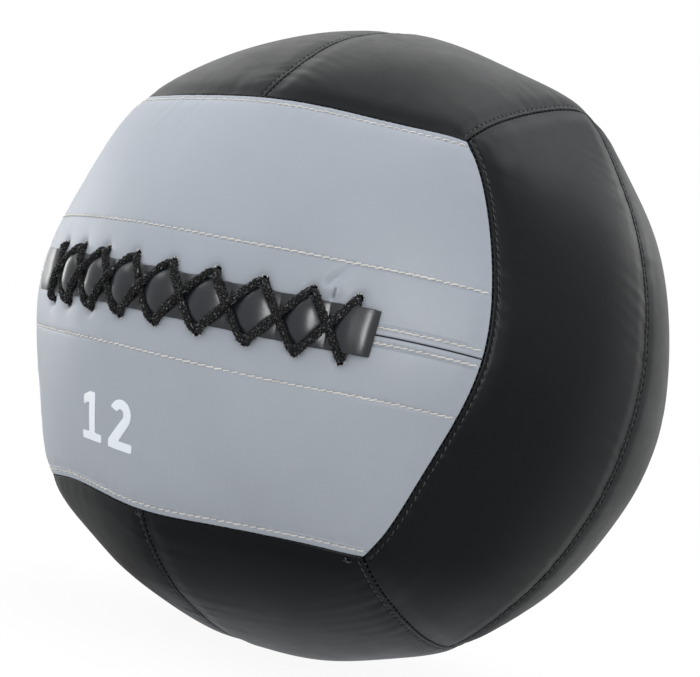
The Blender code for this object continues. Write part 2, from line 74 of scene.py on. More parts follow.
# Each half panel: face, side of the split seam, and whether the split's thread row is on it
panels = {
    "front_panel_upper": ("front", 1, True),
    "front_panel_lower": ("front", -1, True),
    "rear_panel_upper": ("rear", 1, True),
    "rear_panel_lower": ("rear", -1, False),
    "right_panel_front": ("right", -1, False),
    "right_panel_rear": ("right", 1, True),
    "left_panel_front": ("left", -1, False),
    "left_panel_rear": ("left", 1, True),
    "top_panel_left": ("top", -1, True),
    "top_panel_right": ("top", 1, False),
    "bottom_panel_left": ("bottom", -1, True),
    "bottom_panel_right": ("bottom", 1, False),
}

# How the filling has settled: directions from the middle of the ball, and how many
# millimetres the skin has shifted there
settling = {
    "reach": 0.34,                   # radians over which one shift fades out
    "calm": 0.08,
    "aboveFloor": 0.030,             # below this height the shift up or down fades out
    "shifts": (
        ((0.58, -0.58, 0.58), (5.5, 0.6, -8.2)),
        ((0.58, -0.58, -0.58), (-2.3, 4.6, 0.9)),
        ((-0.58, -0.58, 0.58), (-1.5, 2.0, -2.4)),
        ((-0.58, -0.58, -0.58), (1.9, 4.3, -5.8)),
        ((0.58, 0.58, 0.58), (-1.5, 1.3, -1.4)),
        ((0.58, 0.58, -0.58), (-2.9, 1.5, 0.1)),
        ((0.82, -0.58, 0.00), (-4.1, -6.2, -2.4)),
        ((-0.82, -0.58, 0.00), (-0.2, -1.1, -0.5)),
        ((0.00, -0.82, 0.58), (27.1, 7.9, -8.2)),
        ((0.00, -0.82, -0.58), (-13.1, 17.5, -17.4)),
        ((0.58, 0.00, 0.82), (2.5, 4.7, -2.3)),
        ((0.58, 0.00, -0.82), (-14.1, 18.9, 0.7)),
        ((0.73, -0.61, 0.30), (-7.8, -2.7, 8.2)),
        ((0.73, -0.61, -0.30), (-11.5, -12.5, 7.9)),
        ((-0.30, -0.73, 0.61), (-1.0, -4.2, 4.2)),
        ((0.30, -0.73, 0.61), (-9.9, -0.8, 9.5)),
        ((-0.30, -0.73, -0.61), (9.4, -10.0, -0.5)),
        ((0.30, -0.73, -0.61), (6.4, -7.4, -0.3)),
        ((0.61, -0.30, 0.73), (2.4, -1.0, -2.4)),
        ((0.61, -0.30, -0.73), (15.0, 2.3, 0.4)),
        ((0.61, 0.30, 0.73), (4.9, -4.0, 2.9)),
        ((0.61, 0.30, -0.73), (6.8, -5.3, 0.2)),
        ((0.00, -0.50, 0.87), (2.0, 1.9, -2.2)),
        ((0.00, 0.00, 1.00), (1.1, -3.0, 2.0)),
        ((0.00, -0.45, -0.89), (-3.4, 1.6, 0.1)),
        ((0.00, 0.00, -1.00), (-0.3, -0.9, 0.2)),
        ((0.89, 0.00, 0.46), (-0.8, 2.1, 4.0)),
        ((1.00, 0.00, 0.00), (-1.9, 0.3, -4.5)),
        ((0.89, 0.00, -0.46), (3.6, -2.4, 9.0)),
        ((0.00, -1.00, 0.00), (5.5, -0.6, -8.5)),
        ((0.00, -0.93, 0.37), (2.6, -1.6, 4.6)),
        ((0.00, -0.93, -0.37), (1.4, -2.3, 7.7)),
        ((0.50, -0.87, 0.00), (9.3, 7.5, -2.8)),
        ((-0.50, -0.87, 0.00), (1.9, 0.4, -3.5)),
        ((0.95, -0.30, 0.00), (3.0, -1.6, 2.6)),
        ((-1.00, 0.00, 0.00), (0.1, 0.0, 0.3)),
        ((0.00, 1.00, 0.00), (0.1, 0.0, 0.1)),
    ),
}
shiftDirections = np.array([direction for direction, _ in settling["shifts"]])
shiftDirections /= np.linalg.norm(shiftDirections, axis=1)[:, None]
shiftAmounts = np.array([shift for _, shift in settling["shifts"]]) / 1000


def settle(points):
    # Moves points of the ball as its filling has settled. The rest flat stays on the floor
    away = points - middle
    distance = np.linalg.norm(away, axis=-1)
    directions = away / np.maximum(distance, 1e-6)[..., None]
    angles = np.arccos(np.clip(directions @ shiftDirections.T, -1, 1))
    weights = np.exp(-(angles / settling["reach"]) ** 2)
    weights /= weights.sum(axis=-1, keepdims=True) + settling["calm"]
    shift = weights @ shiftAmounts * np.minimum(distance / ball["radius"], 1)[..., None] ** 2
    shift[..., 2] *= np.clip(points[..., 2] / settling["aboveFloor"], 0, 1)
    return points + shift


# Shape of the ball

def cornerTable():
    directions, rises = [], []
    for x in (-1, 1):
        for y in (-1, 1):
            for z in (-1, 1):
                directions.append(np.array((x, y, z)) * seamShare)
                full = (x, y, z) == (-1, -1, -1)
                rises.append(ball["fullCornerRise" if full else "cornerRise"])
    for normal, split, _ in faces.values():
        for side in (-1, 1):
            direction = normal * seamShare + split * side * ringShare
            directions.append(direction)
            full = direction[0] > 0 and direction[2] > 0
            rises.append(ball["fullJunctionRise" if full else "junctionRise"])
    return np.array(directions), np.array(rises)


cornerDirections, cornerRises = cornerTable()


def waves(seed, count, shortest, longest):
    random = np.random.default_rng(seed)
    axes = random.normal(size=(count, 3))
    axes /= np.linalg.norm(axes, axis=1)[:, None]
    lengths = random.uniform(shortest, longest, count)
    return axes / lengths[:, None] * 2 * math.pi, random.uniform(0, 2 * math.pi, count)


def waveSum(points, wave):
    turns, phases = wave
    return np.cos(points @ turns.T + phases).sum(axis=-1) / math.sqrt(len(phases))


ballWaves = waves(11, 9, *ball["unevenLengths"])


def crownRadius(directions):
    angles = np.arccos(np.clip(directions @ cornerDirections.T, -1, 1))
    rise = (cornerRises * np.exp(-(angles / ball["riseReach"]) ** 2)).sum(axis=-1)
    radius = ball["radius"] * (1 + rise)
    radius += ball["unevenness"] * waveSum(directions * ball["radius"], ballWaves)
    down = np.maximum(-directions[..., 2], 1e-6)
    floor = ball["floorBelow"] / down
    soft = ball["flatRim"]
    least = np.minimum(radius, floor)
    return least - soft * np.log1p(np.exp(-np.abs(radius - floor) / soft))


def panelDirections(face, side, arcs, angles):
    normal, split, across = faces[face]
    ring = np.cos(arcs / ball["radius"])[..., None]
    height = np.sin(arcs / ball["radius"])[..., None]
    flat = np.cos(angles)[..., None] * normal + np.sin(angles)[..., None] * split
    return ring * flat + side * height * across


def endDistance(arcs, angles):
    inward = np.arccos(np.clip(np.cos(arcs / ball["radius"]) * np.cos(angles), -1, 1))
    return ball["radius"] * (endAngle - inward)


def angleAt(arcs, distance):
    target = math.cos(endAngle - distance / ball["radius"])
    return np.arccos(np.clip(target / np.cos(arcs / ball["radius"]), -1, 1))


def bell(distance, width):
    return np.exp(-(distance / width) ** 2)


panelSheet = {
    "thickness": 0.0009,
    "gap": 0.00028,                  # half the gap between two sewn edges
    "rollRadius": 0.00070,           # how sharply an edge turns in at its seam
    "turnedIn": 0.0020,
    "valleyDepth": 0.0009,
    "valleyWidth": 0.0110,
    "closureValleyDepth": 0.0003,
    "bandLift": 0.00022,             # the folded edge under a thread row stands up
    "bandShare": 0.86,               # as wide as this share of the row's distance
    "bandStep": 0.00022,             # how soft its edge is
    "grooveDepth": 0.00030,
    "grooveWidth": 0.00060,
    "facingGrooveWidth": 0.0011,
    "dimpleDepth": 0.00045,
    "dimpleWidth": 0.00070,
    "puckerDepth": 0.00026,
    "puckerStart": 0.0015,
    "puckerReach": 0.0150,
    "puckerLengths": (0.008, 0.012, 0.017, 0.027),
    "puckerPatches": (0.06, 0.11),   # how long one stronger stretch of them is
}

threadRow = {
    "pitch": 0.0040,
    "fromSeam": {"white_thread": 0.0036, "black_thread": 0.0027},
    "fromEnd": 0.0021,
    "facingRow": 0.0300,
    "stitchLength": {"white_thread": 0.0034, "black_thread": 0.0026},
    "thickness": {"white_thread": 0.00078, "black_thread": 0.00052},
    "rise": 0.00020,
    "sink": 0.00040,
    "slant": 11.0,                   # degrees that each stitch lies across the row
    "jitter": 6.0,
    "unevenness": 0.12,              # how much the stitches differ in size
    "raised": 0.20,                  # share of its thickness that a stitch stands off the vinyl
}


def rowSlot(face):
    return "white_thread" if face == "front" else "black_thread"


def seamProfile(distance, depth, row=None):
    # How deep the vinyl lies towards a seam. A thread row at this distance adds its folded edge
    share = np.clip(distance / panelSheet["valleyWidth"], 0, 1)
    profile = depth * (1 - share ** 2) ** 2
    if row:
        fold = (distance - row * panelSheet["bandShare"]) / panelSheet["bandStep"]
        groove = bell(distance - row, panelSheet["grooveWidth"])
        profile = profile - panelSheet["bandLift"] * (1 / (1 + np.exp(fold)))
        profile = profile + panelSheet["grooveDepth"] * groove
    return profile


def puckers(along, distance, seed):
    random = np.random.default_rng(seed)
    total = np.zeros_like(along)
    for length in panelSheet["puckerLengths"]:
        phase = random.uniform(0, 2 * math.pi)
        swing = random.uniform(0.5, 1.0)
        drift = random.uniform(-0.4, 0.4)
        total += swing * np.cos(2 * math.pi * (along + drift * distance) / length + phase)
    patchLength = random.uniform(*panelSheet["puckerPatches"])
    patch = 0.55 + 0.45 * np.cos(2 * math.pi * along / patchLength + random.uniform(0, 6))
    start = 1 - np.exp(-distance / panelSheet["puckerStart"])
    fade = np.exp(-distance / panelSheet["puckerReach"]) * start
    return panelSheet["puckerDepth"] * total * patch * fade / 1.6  # what the waves add up to


def rowCount(length):
    return max(2, round(length / threadRow["pitch"]))


def rowEnd(arc):
    # How far a thread row at this arc runs to either side, as an angle
    return float(angleAt(np.array(arc), threadRow["fromEnd"]))


def rowLength(arc):
    return 2 * rowEnd(arc) * ball["radius"] * math.cos(arc / ball["radius"])


def dimples(arcs, angles, rowArc):
    # The needle holes between the stitches of a row, each drawn in
    ring = ball["radius"] * math.cos(rowArc / ball["radius"])
    end = rowEnd(rowArc)
    count = rowCount(2 * end * ring)
    place = (angles / end + 1) / 2 * count
    along = (place - np.round(place)) * 2 * end * ring / count
    past = 0.3                       # in stitches, beyond either end of the row
    inside = (place > -past) & (place < count + past)
    away = np.hypot(along, arcs - rowArc)
    return inside * panelSheet["dimpleDepth"] * bell(away, panelSheet["dimpleWidth"])


lacing = {
    "pairs": 9,
    "pitch": 0.0240,
    "holeRow": 0.0149,               # drawn in by the cord from where the facings are punched
    "punchedRow": 0.0162,
    "punchedReach": 0.0050,          # how far from their holes the facings are drawn in
    "shear": 0.0005,                 # the upper row has slipped this far right, the lower row left
    "holeRadius": 0.0023,
    "holeDip": 0.0018,
    "dipWidth": 0.0034,
    "foldDepth": 0.00050,
    "foldShares": (0.7, 2.0),        # of that depth anywhere, and added towards the lower left
    "foldOut": 0.0095,               # how far the folds fade away from the lacing,
    "foldIn": 0.006,                 # in under it,
    "foldBeyond": 0.010,             # and past its last holes
    "foldLean": 0.12,
}

# One soft crease runs up and out from the last but one upper hole. Beside it the vinyl
# bunches up into a small peak with a slit in it. Places are arcs around and up from the
# middle of the front
crease = {
    "start": (0.0762, 0.0172),
    "toward": (0.655, 0.756),
    "opening": 0.003,
    "straight": 0.006,               # from there on it fades
    "fade": 0.0085,
    "depth": 0.00160,
    "width": 0.0017,
    "lip": 0.00070,                  # raised beside it
    "lipAside": 0.0040,
    "lipWidth": 0.0024,
    "peak": (0.0832, 0.0158),
    "peakHeight": 0.0020,
    "peakWidth": 0.0032,
    "peakStretch": 1.25,
    "slit": (0.0833, 0.0150),
    "slitDepth": 0.0030,
    "slitWidth": 0.00055,
    "slitLength": 0.0014,
    "slitFade": 0.0010,
}
laceReach = (lacing["pairs"] - 1) / 2 * lacing["pitch"]  # from the middle to the last holes


def holePlace(pair, side):
    # Arcs around and up from the middle of the front
    around = (pair - (lacing["pairs"] - 1) / 2) * lacing["pitch"]
    return around + side * lacing["shear"], side * lacing["holeRow"]


def laceHoles():
    return [holePlace(pair, side) for pair in range(lacing["pairs"]) for side in (1, -1)]


def creased(depth, around, up):
    fromStart = around - crease["start"][0], up - crease["start"][1]
    x, y = crease["toward"]
    along = fromStart[0] * x + fromStart[1] * y
    aside = fromStart[0] * y - fromStart[1] * x
    late = np.clip(along - crease["straight"], 0, None)
    share = np.clip(along / crease["opening"], 0, 1) * bell(late, crease["fade"])
    depth = depth + crease["depth"] * share * bell(aside, crease["width"])
    depth = depth - crease["lip"] * share * bell(aside - crease["lipAside"], crease["lipWidth"])
    fromPeak = (around - crease["peak"][0]) / crease["peakStretch"], up - crease["peak"][1]
    peak = bell(np.hypot(*fromPeak), crease["peakWidth"])
    past = np.clip(np.abs(up - crease["slit"][1]) - crease["slitLength"], 0, None)
    slit = bell(around - crease["slit"][0], crease["slitWidth"]) * bell(past, crease["slitFade"])
    return depth - crease["peakHeight"] * peak + crease["slitDepth"] * slit


def lacingPull(around, up):
    # How the lacing draws the grey vinyl in, and the folds that leave its holes
    beyond = np.clip(np.abs(around) - laceReach, 0, None)
    outward = np.clip(np.abs(up) - lacing["holeRow"], 0, None)
    inward = np.clip(lacing["holeRow"] - np.abs(up), 0, None)
    fade = np.exp(-outward / lacing["foldOut"]) * np.exp(-inward / lacing["foldIn"])
    leftLower = np.clip(-around / laceReach, 0, 1) * (up < 0)
    anywhere, added = lacing["foldShares"]
    depth = lacing["foldDepth"] * (anywhere + added * leftLower)
    lean = around + lacing["foldLean"] * outward * np.sign(around)
    fold = depth * (0.5 + 0.5 * np.cos(2 * math.pi * lean / lacing["pitch"]))
    pull = fold * fade * bell(beyond, lacing["foldBeyond"])
    for holeAround, holeUp in laceHoles():
        away = np.hypot(around - holeAround, up - holeUp)
        pull = pull + lacing["holeDip"] * bell(away, lacing["dipWidth"])
    return creased(pull, around, up)


def panelDepth(name, arcs, angles, drop=0.0):
    face, side, splitRow = panels[name]
    seed = list(panels).index(name) * 10
    toEnd = np.maximum(endDistance(arcs, angles), 0)
    toOuter = np.maximum(outerArc - arcs, 0)
    along = ball["radius"] * np.cos(arcs / ball["radius"]) * angles
    height = np.clip(np.sin(arcs / ball["radius"]) / ringShare, 0, 1)
    alongEnd = ball["radius"] * ringShare * np.arcsin(height) * side
    splitDepth = panelSheet["closureValleyDepth" if face == "front" else "valleyDepth"]
    row = threadRow["fromSeam"][rowSlot(face)]
    depths = np.stack([
        seamProfile(arcs, splitDepth, row if splitRow else None),
        seamProfile(toOuter, panelSheet["valleyDepth"], row),
        seamProfile(toEnd, panelSheet["valleyDepth"]),
    ])
    least = depths.min(axis=0)
    depth = (np.clip(depths, 0, None) ** 4).sum(axis=0) ** 0.25 + np.minimum(least, 0)
    if splitRow:
        depth = depth + dimples(arcs, angles, row)
    depth = depth + dimples(arcs, angles, outerArc - row)
    rightEnd = (angles > 0).any()
    pulled = puckers(along, toOuter, seed + 2) + puckers(alongEnd, toEnd, seed + 3 + rightEnd)
    if face == "front":
        depth = depth + dimples(arcs, angles, threadRow["facingRow"])
        groove = bell(arcs - threadRow["facingRow"], panelSheet["facingGrooveWidth"])
        depth = depth + panelSheet["grooveDepth"] * groove
        pulled = pulled + lacingPull(along, side * arcs)
    else:
        pulled = pulled + puckers(along, arcs, seed + 1)
    return depth + pulled + drop


def panelPoints(name, arcs, angles, drop=0.0, lift=0.0):
    face, side, _ = panels[name]
    directions = panelDirections(face, side, arcs, angles)
    radius = crownRadius(directions) - panelDepth(name, arcs, angles, drop) + lift
    return settle(directions * radius[..., None] + middle)


def frontPoints(around, up, lift=0.0):
    # Points over the grey panels, by arcs around and up from the middle of the front
    around, up = np.broadcast_arrays(np.asarray(around, float), np.asarray(up, float))
    angles = around / (ball["radius"] * np.cos(up / ball["radius"]))
    high = panelPoints("front_panel_upper", np.abs(up), angles, 0.0, lift)
    low = panelPoints("front_panel_lower", np.abs(up), angles, 0.0, lift)
    return np.where((up >= 0)[..., None], high, low)


# Meshes

def newObject(name, data):
    piece = bpy.data.objects.new(name, data)
    scene.collection.objects.link(piece)
    return piece


def meshFrom(name, points, polygons):
    mesh = bpy.data.meshes.new(name)
    mesh.from_pydata([tuple(point) for point in points], [], polygons)
    mesh.validate()
    mesh.shade_smooth()
    return mesh


def gridPolygons(rows, columns, flip, closed=False):
    polygons = []
    for i in range(rows - 1):
        for j in range(columns if closed else columns - 1):
            k = (j + 1) % columns
            corners = [i * columns + j, i * columns + k,
                       (i + 1) * columns + k, (i + 1) * columns + j]
            polygons.append(corners[::-1] if flip else corners)
    return polygons


def loopVertices(mesh):
    index = np.empty(len(mesh.loops), dtype=np.int32)
    mesh.loops.foreach_get("vertex_index", index)
    return index


def addUv(mesh, places):
    # A place for each corner of each face
    layer = mesh.uv_layers.new(name="UVMap")
    layer.data.foreach_set("uv", places.astype(np.float32).ravel())


def applied(piece):
    # The evaluated shape as a plain mesh, with no modifier left
    bpy.context.view_layer.update()
    depsgraph = bpy.context.evaluated_depsgraph_get()
    mesh = bpy.data.meshes.new_from_object(piece.evaluated_get(depsgraph), depsgraph=depsgraph)
    old = piece.data
    piece.modifiers.clear()
    piece.data = mesh
    if old.users == 0:
        bpy.data.meshes.remove(old)
    return piece


def thicken(piece, thickness, offset=-1.0):
    wall = piece.modifiers.new("thickness", "SOLIDIFY")
    wall.thickness = thickness
    wall.offset = offset
    wall.use_even_offset = False
    return applied(piece)


def paint(piece, material):
    piece.data.materials.clear()
    piece.data.materials.append(material)
    return piece


# Materials

def setInputs(tree, node, inputs):
    # Each input gets a number or colour of its own, or the socket that feeds it
    for key, value in inputs.items():
        if isinstance(value, bpy.types.NodeSocket):
            tree.links.new(value, node.inputs[key])
        else:
            node.inputs[key].default_value = value


def addNode(tree, kind, inputs=None, **settings):
    node = tree.nodes.new(kind)
    for key, value in settings.items():
        setattr(node, key, value)
    setInputs(tree, node, inputs or {})
    return node


def newMaterial(name):
    material = bpy.data.materials.new(name)
    material.use_nodes = True
    tree = material.node_tree
    place = addNode(tree, "ShaderNodeTexCoord").outputs["Object"]
    return material, tree, tree.nodes["Principled BSDF"], place


def mathNode(tree, operation, *values):
    inputs = dict(enumerate(values))
    return addNode(tree, "ShaderNodeMath", inputs, operation=operation).outputs[0]


def weighted(tree, *parts):
    # The sum of several values, each times its weight
    scaled = [mathNode(tree, "MULTIPLY", value, weight) for value, weight in parts]
    total = scaled[0]
    for part in scaled[1:]:
        total = mathNode(tree, "ADD", total, part)
    return total


def sineNode(tree, value, turns):
    return mathNode(tree, "SINE", mathNode(tree, "MULTIPLY", value, 2 * math.pi * turns))


def noiseNode(tree, vector, scale, detail=3.0, roughness=0.5):
    inputs = {"Vector": vector, "Scale": scale, "Detail": detail, "Roughness": roughness}
    return addNode(tree, "ShaderNodeTexNoise", inputs).outputs["Fac"]


def rampNode(tree, factor, stops):
    node = addNode(tree, "ShaderNodeValToRGB", {"Fac": factor})
    ramp = node.color_ramp
    while len(ramp.elements) < len(stops):
        ramp.elements.new(0.5)
    for element, (place, colour) in zip(ramp.elements, stops):
        element.position = place
        element.color = (*colour, 1.0)
    return node.outputs["Color"]


def rangeNode(tree, value, low, high, fromLow, fromHigh):
    inputs = {"Value": value, "From Min": fromLow, "From Max": fromHigh,
              "To Min": low, "To Max": high}
    return addNode(tree, "ShaderNodeMapRange", inputs).outputs["Result"]


def bumpNode(tree, height, distance, under=None):
    inputs = {"Height": height, "Distance": distance, "Strength": 1.0}
    if under is not None:
        inputs["Normal"] = under
    return addNode(tree, "ShaderNodeBump", inputs).outputs["Normal"]


def mapAxes(tree):
    # Across and along, from the piece's own map
    uv = addNode(tree, "ShaderNodeTexCoord").outputs["UV"]
    return addNode(tree, "ShaderNodeSeparateXYZ", {0: uv}).outputs[:2]


greyLook = {
    "dark": (0.373, 0.401, 0.446),
    "light": (0.413, 0.444, 0.494),
    "roughness": (0.46, 0.56),
    "grainSize": 0.00055,
    "grainHeight": 0.000020,
    "weave": 0.0019,                 # between two rows of the backing, along the panel
    "scuffHeight": 0.00006,
    "specular": 0.30,
}
blackLook = {
    "dark": (0.0028, 0.0042, 0.0054),
    "light": (0.0046, 0.0062, 0.0076),
    "roughness": (0.38, 0.46),
    "grainSize": 0.00055,
    "grainHeight": 0.000022,
    "weave": 0.0019,
    "scuffHeight": 0.00008,
    "specular": 0.11,
}
tongueLook = {
    "dark": (0.0080, 0.0100, 0.0140),
    "light": (0.0130, 0.0160, 0.0210),
    "roughness": (0.26, 0.38),
    "grainSize": 0.00040,
    "grainHeight": 0.000004,
    "scuffHeight": 0.00010,
    "specular": 0.46,
}
vinylScales = {"clouds": 16.0, "scuffs": 90.0}  # per metre


def vinyl(name, look):
    # Coated cloth: a fine pressed grain, soft cloudiness, and faint scuffs that change the gloss
    material, tree, shader, place = newMaterial(name)
    cells = addNode(tree, "ShaderNodeTexVoronoi",
                    {"Vector": place, "Scale": 1 / look["grainSize"], "Smoothness": 0.6},
                    feature="SMOOTH_F1")
    fine = noiseNode(tree, place, 0.45 / look["grainSize"], 4.0, 0.6)
    grain = mathNode(tree, "ADD", cells.outputs["Distance"], fine)
    if "weave" in look:
        # The woven backing presses through the coat in slanting rows
        axes = mapAxes(tree)
        rows = [sineNode(tree, mathNode(tree, operation, *axes), 1 / look["weave"])
                for operation in ("ADD", "SUBTRACT")]
        grain = weighted(tree, (grain, 1.0), (mathNode(tree, "MULTIPLY", *rows), 0.45))
    clouds = noiseNode(tree, place, vinylScales["clouds"])
    scuffs = noiseNode(tree, place, vinylScales["scuffs"], 5.0, 0.65)
    tone = weighted(tree, (clouds, 0.7), (fine, 0.3))
    gloss = weighted(tree, (clouds, 0.5), (scuffs, 0.5))
    broad = bumpNode(tree, scuffs, look["scuffHeight"])
    setInputs(tree, shader, {
        "Base Color": rampNode(tree, tone, [(0.30, look["dark"]), (0.70, look["light"])]),
        "Roughness": rangeNode(tree, gloss, *look["roughness"], 0.35, 0.65),
        "Normal": bumpNode(tree, grain, look["grainHeight"], broad),
        "Specular IOR Level": look["specular"],
    })
    return material


cordLook = {
    "filaments": 5,                  # across one strand
    "filamentHeight": 0.00009,
    "glintAndToneShares": (0.50, 0.22, 0.28, 0.26),  # painted glint dashes, random fuzz and patches, and the strands' crowns painted lighter with their gaps painted in shade
    "colours": [(0.40, (0.0025, 0.0025, 0.0027)), (0.51, (0.0090, 0.0093, 0.0098)),
                (0.60, (0.050, 0.052, 0.056)), (0.72, (0.28, 0.29, 0.31))],
    "roughness": (0.74, 0.46),
    "specular": 0.22,
}


def braidedCord(name, look):
    # Filaments that follow each strand of the braid, read from the cord's own map
    material, tree, shader, place = newMaterial(name)
    axes = mapAxes(tree)
    rising, falling = (mathNode(tree, operation, *axes) for operation in ("ADD", "SUBTRACT"))
    cell = mathNode(tree, "ADD", *(mathNode(tree, "FLOOR", value) for value in (rising, falling)))
    odd = mathNode(tree, "PINGPONG", cell, 1.0)

    def alongStrand(across, along):
        # Filaments, painted glint dashes drawn out along one strand, and how near its crown a place
        # is
        stretched = addNode(tree, "ShaderNodeCombineXYZ", {
            0: mathNode(tree, "MULTIPLY", across, 3.4),
            1: mathNode(tree, "MULTIPLY", along, 1.1)})
        crowns = [mathNode(tree, "POWER", sineNode(tree, mathNode(tree, "FRACT", value), 0.5),
                           power) for value, power in ((across, 1.5), (along, 0.5))]
        return (sineNode(tree, across, look["filaments"]),
                noiseNode(tree, stretched.outputs[0], 1.0, 3.0, 0.65),
                mathNode(tree, "MULTIPLY", *crowns))

    lines, glintDashes, crown = (
        addNode(tree, "ShaderNodeMix", {0: odd, 2: up, 3: down}, data_type="FLOAT").outputs[0]
        for up, down in zip(alongStrand(rising, falling), alongStrand(falling, rising)))
    fuzz = noiseNode(tree, place, 1500.0, 3.0, 0.7)
    patches = noiseNode(tree, place, 420.0, 2.0, 0.6)
    height = weighted(tree, (lines, 1.0), (fuzz, 2.2))
    parts = (glintDashes, fuzz, patches, mathNode(tree, "SUBTRACT", crown, 0.5))
    # The base colour is partly painted light: glint dashes and lighter crowns as painted highlight,
    # darker gaps as painted shade, over a random tone from fuzz and patches
    glintAndTone = weighted(tree, *zip(parts, look["glintAndToneShares"]))
    setInputs(tree, shader, {
        "Base Color": rampNode(tree, glintAndTone, look["colours"]),
        "Roughness": rangeNode(tree, fuzz, *look["roughness"], 0.3, 0.7),
        "Normal": bumpNode(tree, height, look["filamentHeight"]),
        "Specular IOR Level": look["specular"],
    })
    return material


def threadMaterial(name, dark, light, roughness):
    material, tree, shader, place = newMaterial(name)
    strands = noiseNode(tree, place, 3200.0, 3.0, 0.6)
    drift = noiseNode(tree, place, 120.0, 2.0)
    tone = weighted(tree, (strands, 0.6), (drift, 0.4))
    setInputs(tree, shader, {
        "Base Color": rampNode(tree, tone, [(0.35, dark), (0.65, light)]),
        "Roughness": roughness,
        "Normal": bumpNode(tree, strands, 0.00008),
        "Sheen Weight": 0.2,
    })
    return material


def wovenCloth(name, dark, light, pitch, height=0.00012):
    # A plain weave on object coordinates, with thick and thin yarns
    material, tree, shader, place = newMaterial(name)
    wobble = noiseNode(tree, place, 60.0, 2.0)
    split = addNode(tree, "ShaderNodeSeparateXYZ", {0: place})
    yarns = []
    for axis in ("X", "Z"):
        shifted = weighted(tree, (split.outputs[axis], 1.0), (wobble, pitch * 2))
        yarns.append(sineNode(tree, shifted, 1 / pitch))
    fuzz = noiseNode(tree, place, 1800.0, 3.0, 0.65)
    tone = weighted(tree, (mathNode(tree, "MULTIPLY", *yarns), 0.25), (fuzz, 1.0))
    setInputs(tree, shader, {
        "Base Color": rampNode(tree, tone, [(0.30, dark), (0.72, light)]),
        "Roughness": 0.88,
        "Normal": bumpNode(tree, tone, height),
        "Sheen Weight": 0.25,
    })
    return material


def looseFibre(name, colours):
    material, tree, shader, place = newMaterial(name)
    strands = noiseNode(tree, place, 420.0, 6.0, 0.75)
    clumps = noiseNode(tree, place, 45.0)
    tone = weighted(tree, (strands, 0.6), (clumps, 0.4))
    setInputs(tree, shader, {
        "Base Color": rampNode(tree, tone, list(zip((0.35, 0.52, 0.68), colours))),
        "Roughness": 0.96,
        "Normal": bumpNode(tree, strands, 0.0016),
        "Sheen Weight": 0.4,
    })
    return material


def steelShot(name, colours):
    # Dusty grains, with a little rust
    material, tree, shader, place = newMaterial(name)
    grains = addNode(tree, "ShaderNodeTexVoronoi", {"Vector": place, "Scale": 220.0})
    dust = noiseNode(tree, place, 300.0, 5.0, 0.7)
    setInputs(tree, shader, {
        "Base Color": rampNode(tree, dust, list(zip((0.30, 0.55, 0.72), colours))),
        "Roughness": rangeNode(tree, dust, 0.35, 0.80, 0.3, 0.7),
        "Normal": bumpNode(tree, grains.outputs["Distance"], 0.0004),
        "Metallic": 0.7,
    })
    return material


def printedInk(name, dark, light):
    material, tree, shader, place = newMaterial(name)
    speckle = noiseNode(tree, place, 1500.0, 3.0, 0.6)
    setInputs(tree, shader, {
        "Base Color": rampNode(tree, speckle, [(0.3, dark), (0.6, light)]),
        "Roughness": rangeNode(tree, speckle, 0.38, 0.50, 0.3, 0.7),
        "Normal": bumpNode(tree, speckle, 0.000015),
    })
    return material


# The darker and the lighter shade of each, then its roughness or the pitch of its weave
materials = {
    "grey_vinyl": vinyl("greyVinyl", greyLook),
    "black_vinyl": vinyl("blackVinyl", blackLook),
    "tongue_vinyl": vinyl("tongueVinyl", tongueLook),
    "lace_cord": braidedCord("braidedCord", cordLook),
    "white_thread": threadMaterial("whiteThread", (0.60, 0.58, 0.54), (0.86, 0.84, 0.80), 0.62),
    "black_thread": threadMaterial("blackThread", (0.003, 0.003, 0.003),
                                   (0.012, 0.013, 0.014), 0.42),
    "tie_cord": threadMaterial("tieCord", (0.36, 0.31, 0.22), (0.66, 0.60, 0.49), 0.85),
    "facing_canvas": wovenCloth("facingCanvas", (0.10, 0.11, 0.12), (0.30, 0.31, 0.32), 0.0009),
    "lining_cloth": wovenCloth("liningCloth", (0.022, 0.022, 0.027),
                               (0.075, 0.075, 0.088), 0.0007),
    "ballast_canvas": wovenCloth("ballastCanvas", (0.26, 0.21, 0.14),
                                 (0.54, 0.47, 0.35), 0.0012, 0.0002),
    "fibre": looseFibre("stuffingFibre", ((0.34, 0.32, 0.28), (0.60, 0.58, 0.53),
                                          (0.78, 0.76, 0.72))),
    "ballast_shot": steelShot("steelShot", ((0.045, 0.042, 0.040), (0.17, 0.16, 0.15),
                                            (0.26, 0.20, 0.15))),
}
print("materials made")


# The twelve panels

# Where the rows and columns of points lie, closest where the vinyl bends most
panelMesh = {
    "edgeTurns": (0, 30, 55, 75, 90),
    "seamRows": {"white_thread": (0.0012, 0.0019), "black_thread": (0.0012, 0.0017)},
    "threadRows": (-0.0006, -0.0003, 0.0, 0.0003, 0.0007, 0.0014),  # from a row of thread
    "valleyRows": (0.0050, 0.0062, 0.0080, 0.0100, 0.0125),
    "plainRows": (0.0012, 0.0019, 0.0028, 0.0038, 0.0050, 0.0065, 0.0085, 0.0105, 0.0125),
    "holeRows": (0.0133, 0.0205, 0.00075),
    "facingRows": (0.0218, 0.0235, 0.0255, 0.0272, 0.0284, 0.0291, 0.0296,
                   0.0300, 0.0304, 0.0309, 0.0318, 0.0330),
    "greyMiddleRows": (0.0352, 0.0148, 21),  # from the split, from the outer seam, count
    "blackMiddleRows": (0.0152, 0.0152, 27),
    "endColumns": (0.0012, 0.0019, 0.0028, 0.0038, 0.0052, 0.0070, 0.0095, 0.0125),
    "columns": {"front": 380, "rear": 200, "right": 250, "left": 200, "top": 250, "bottom": 230},
}


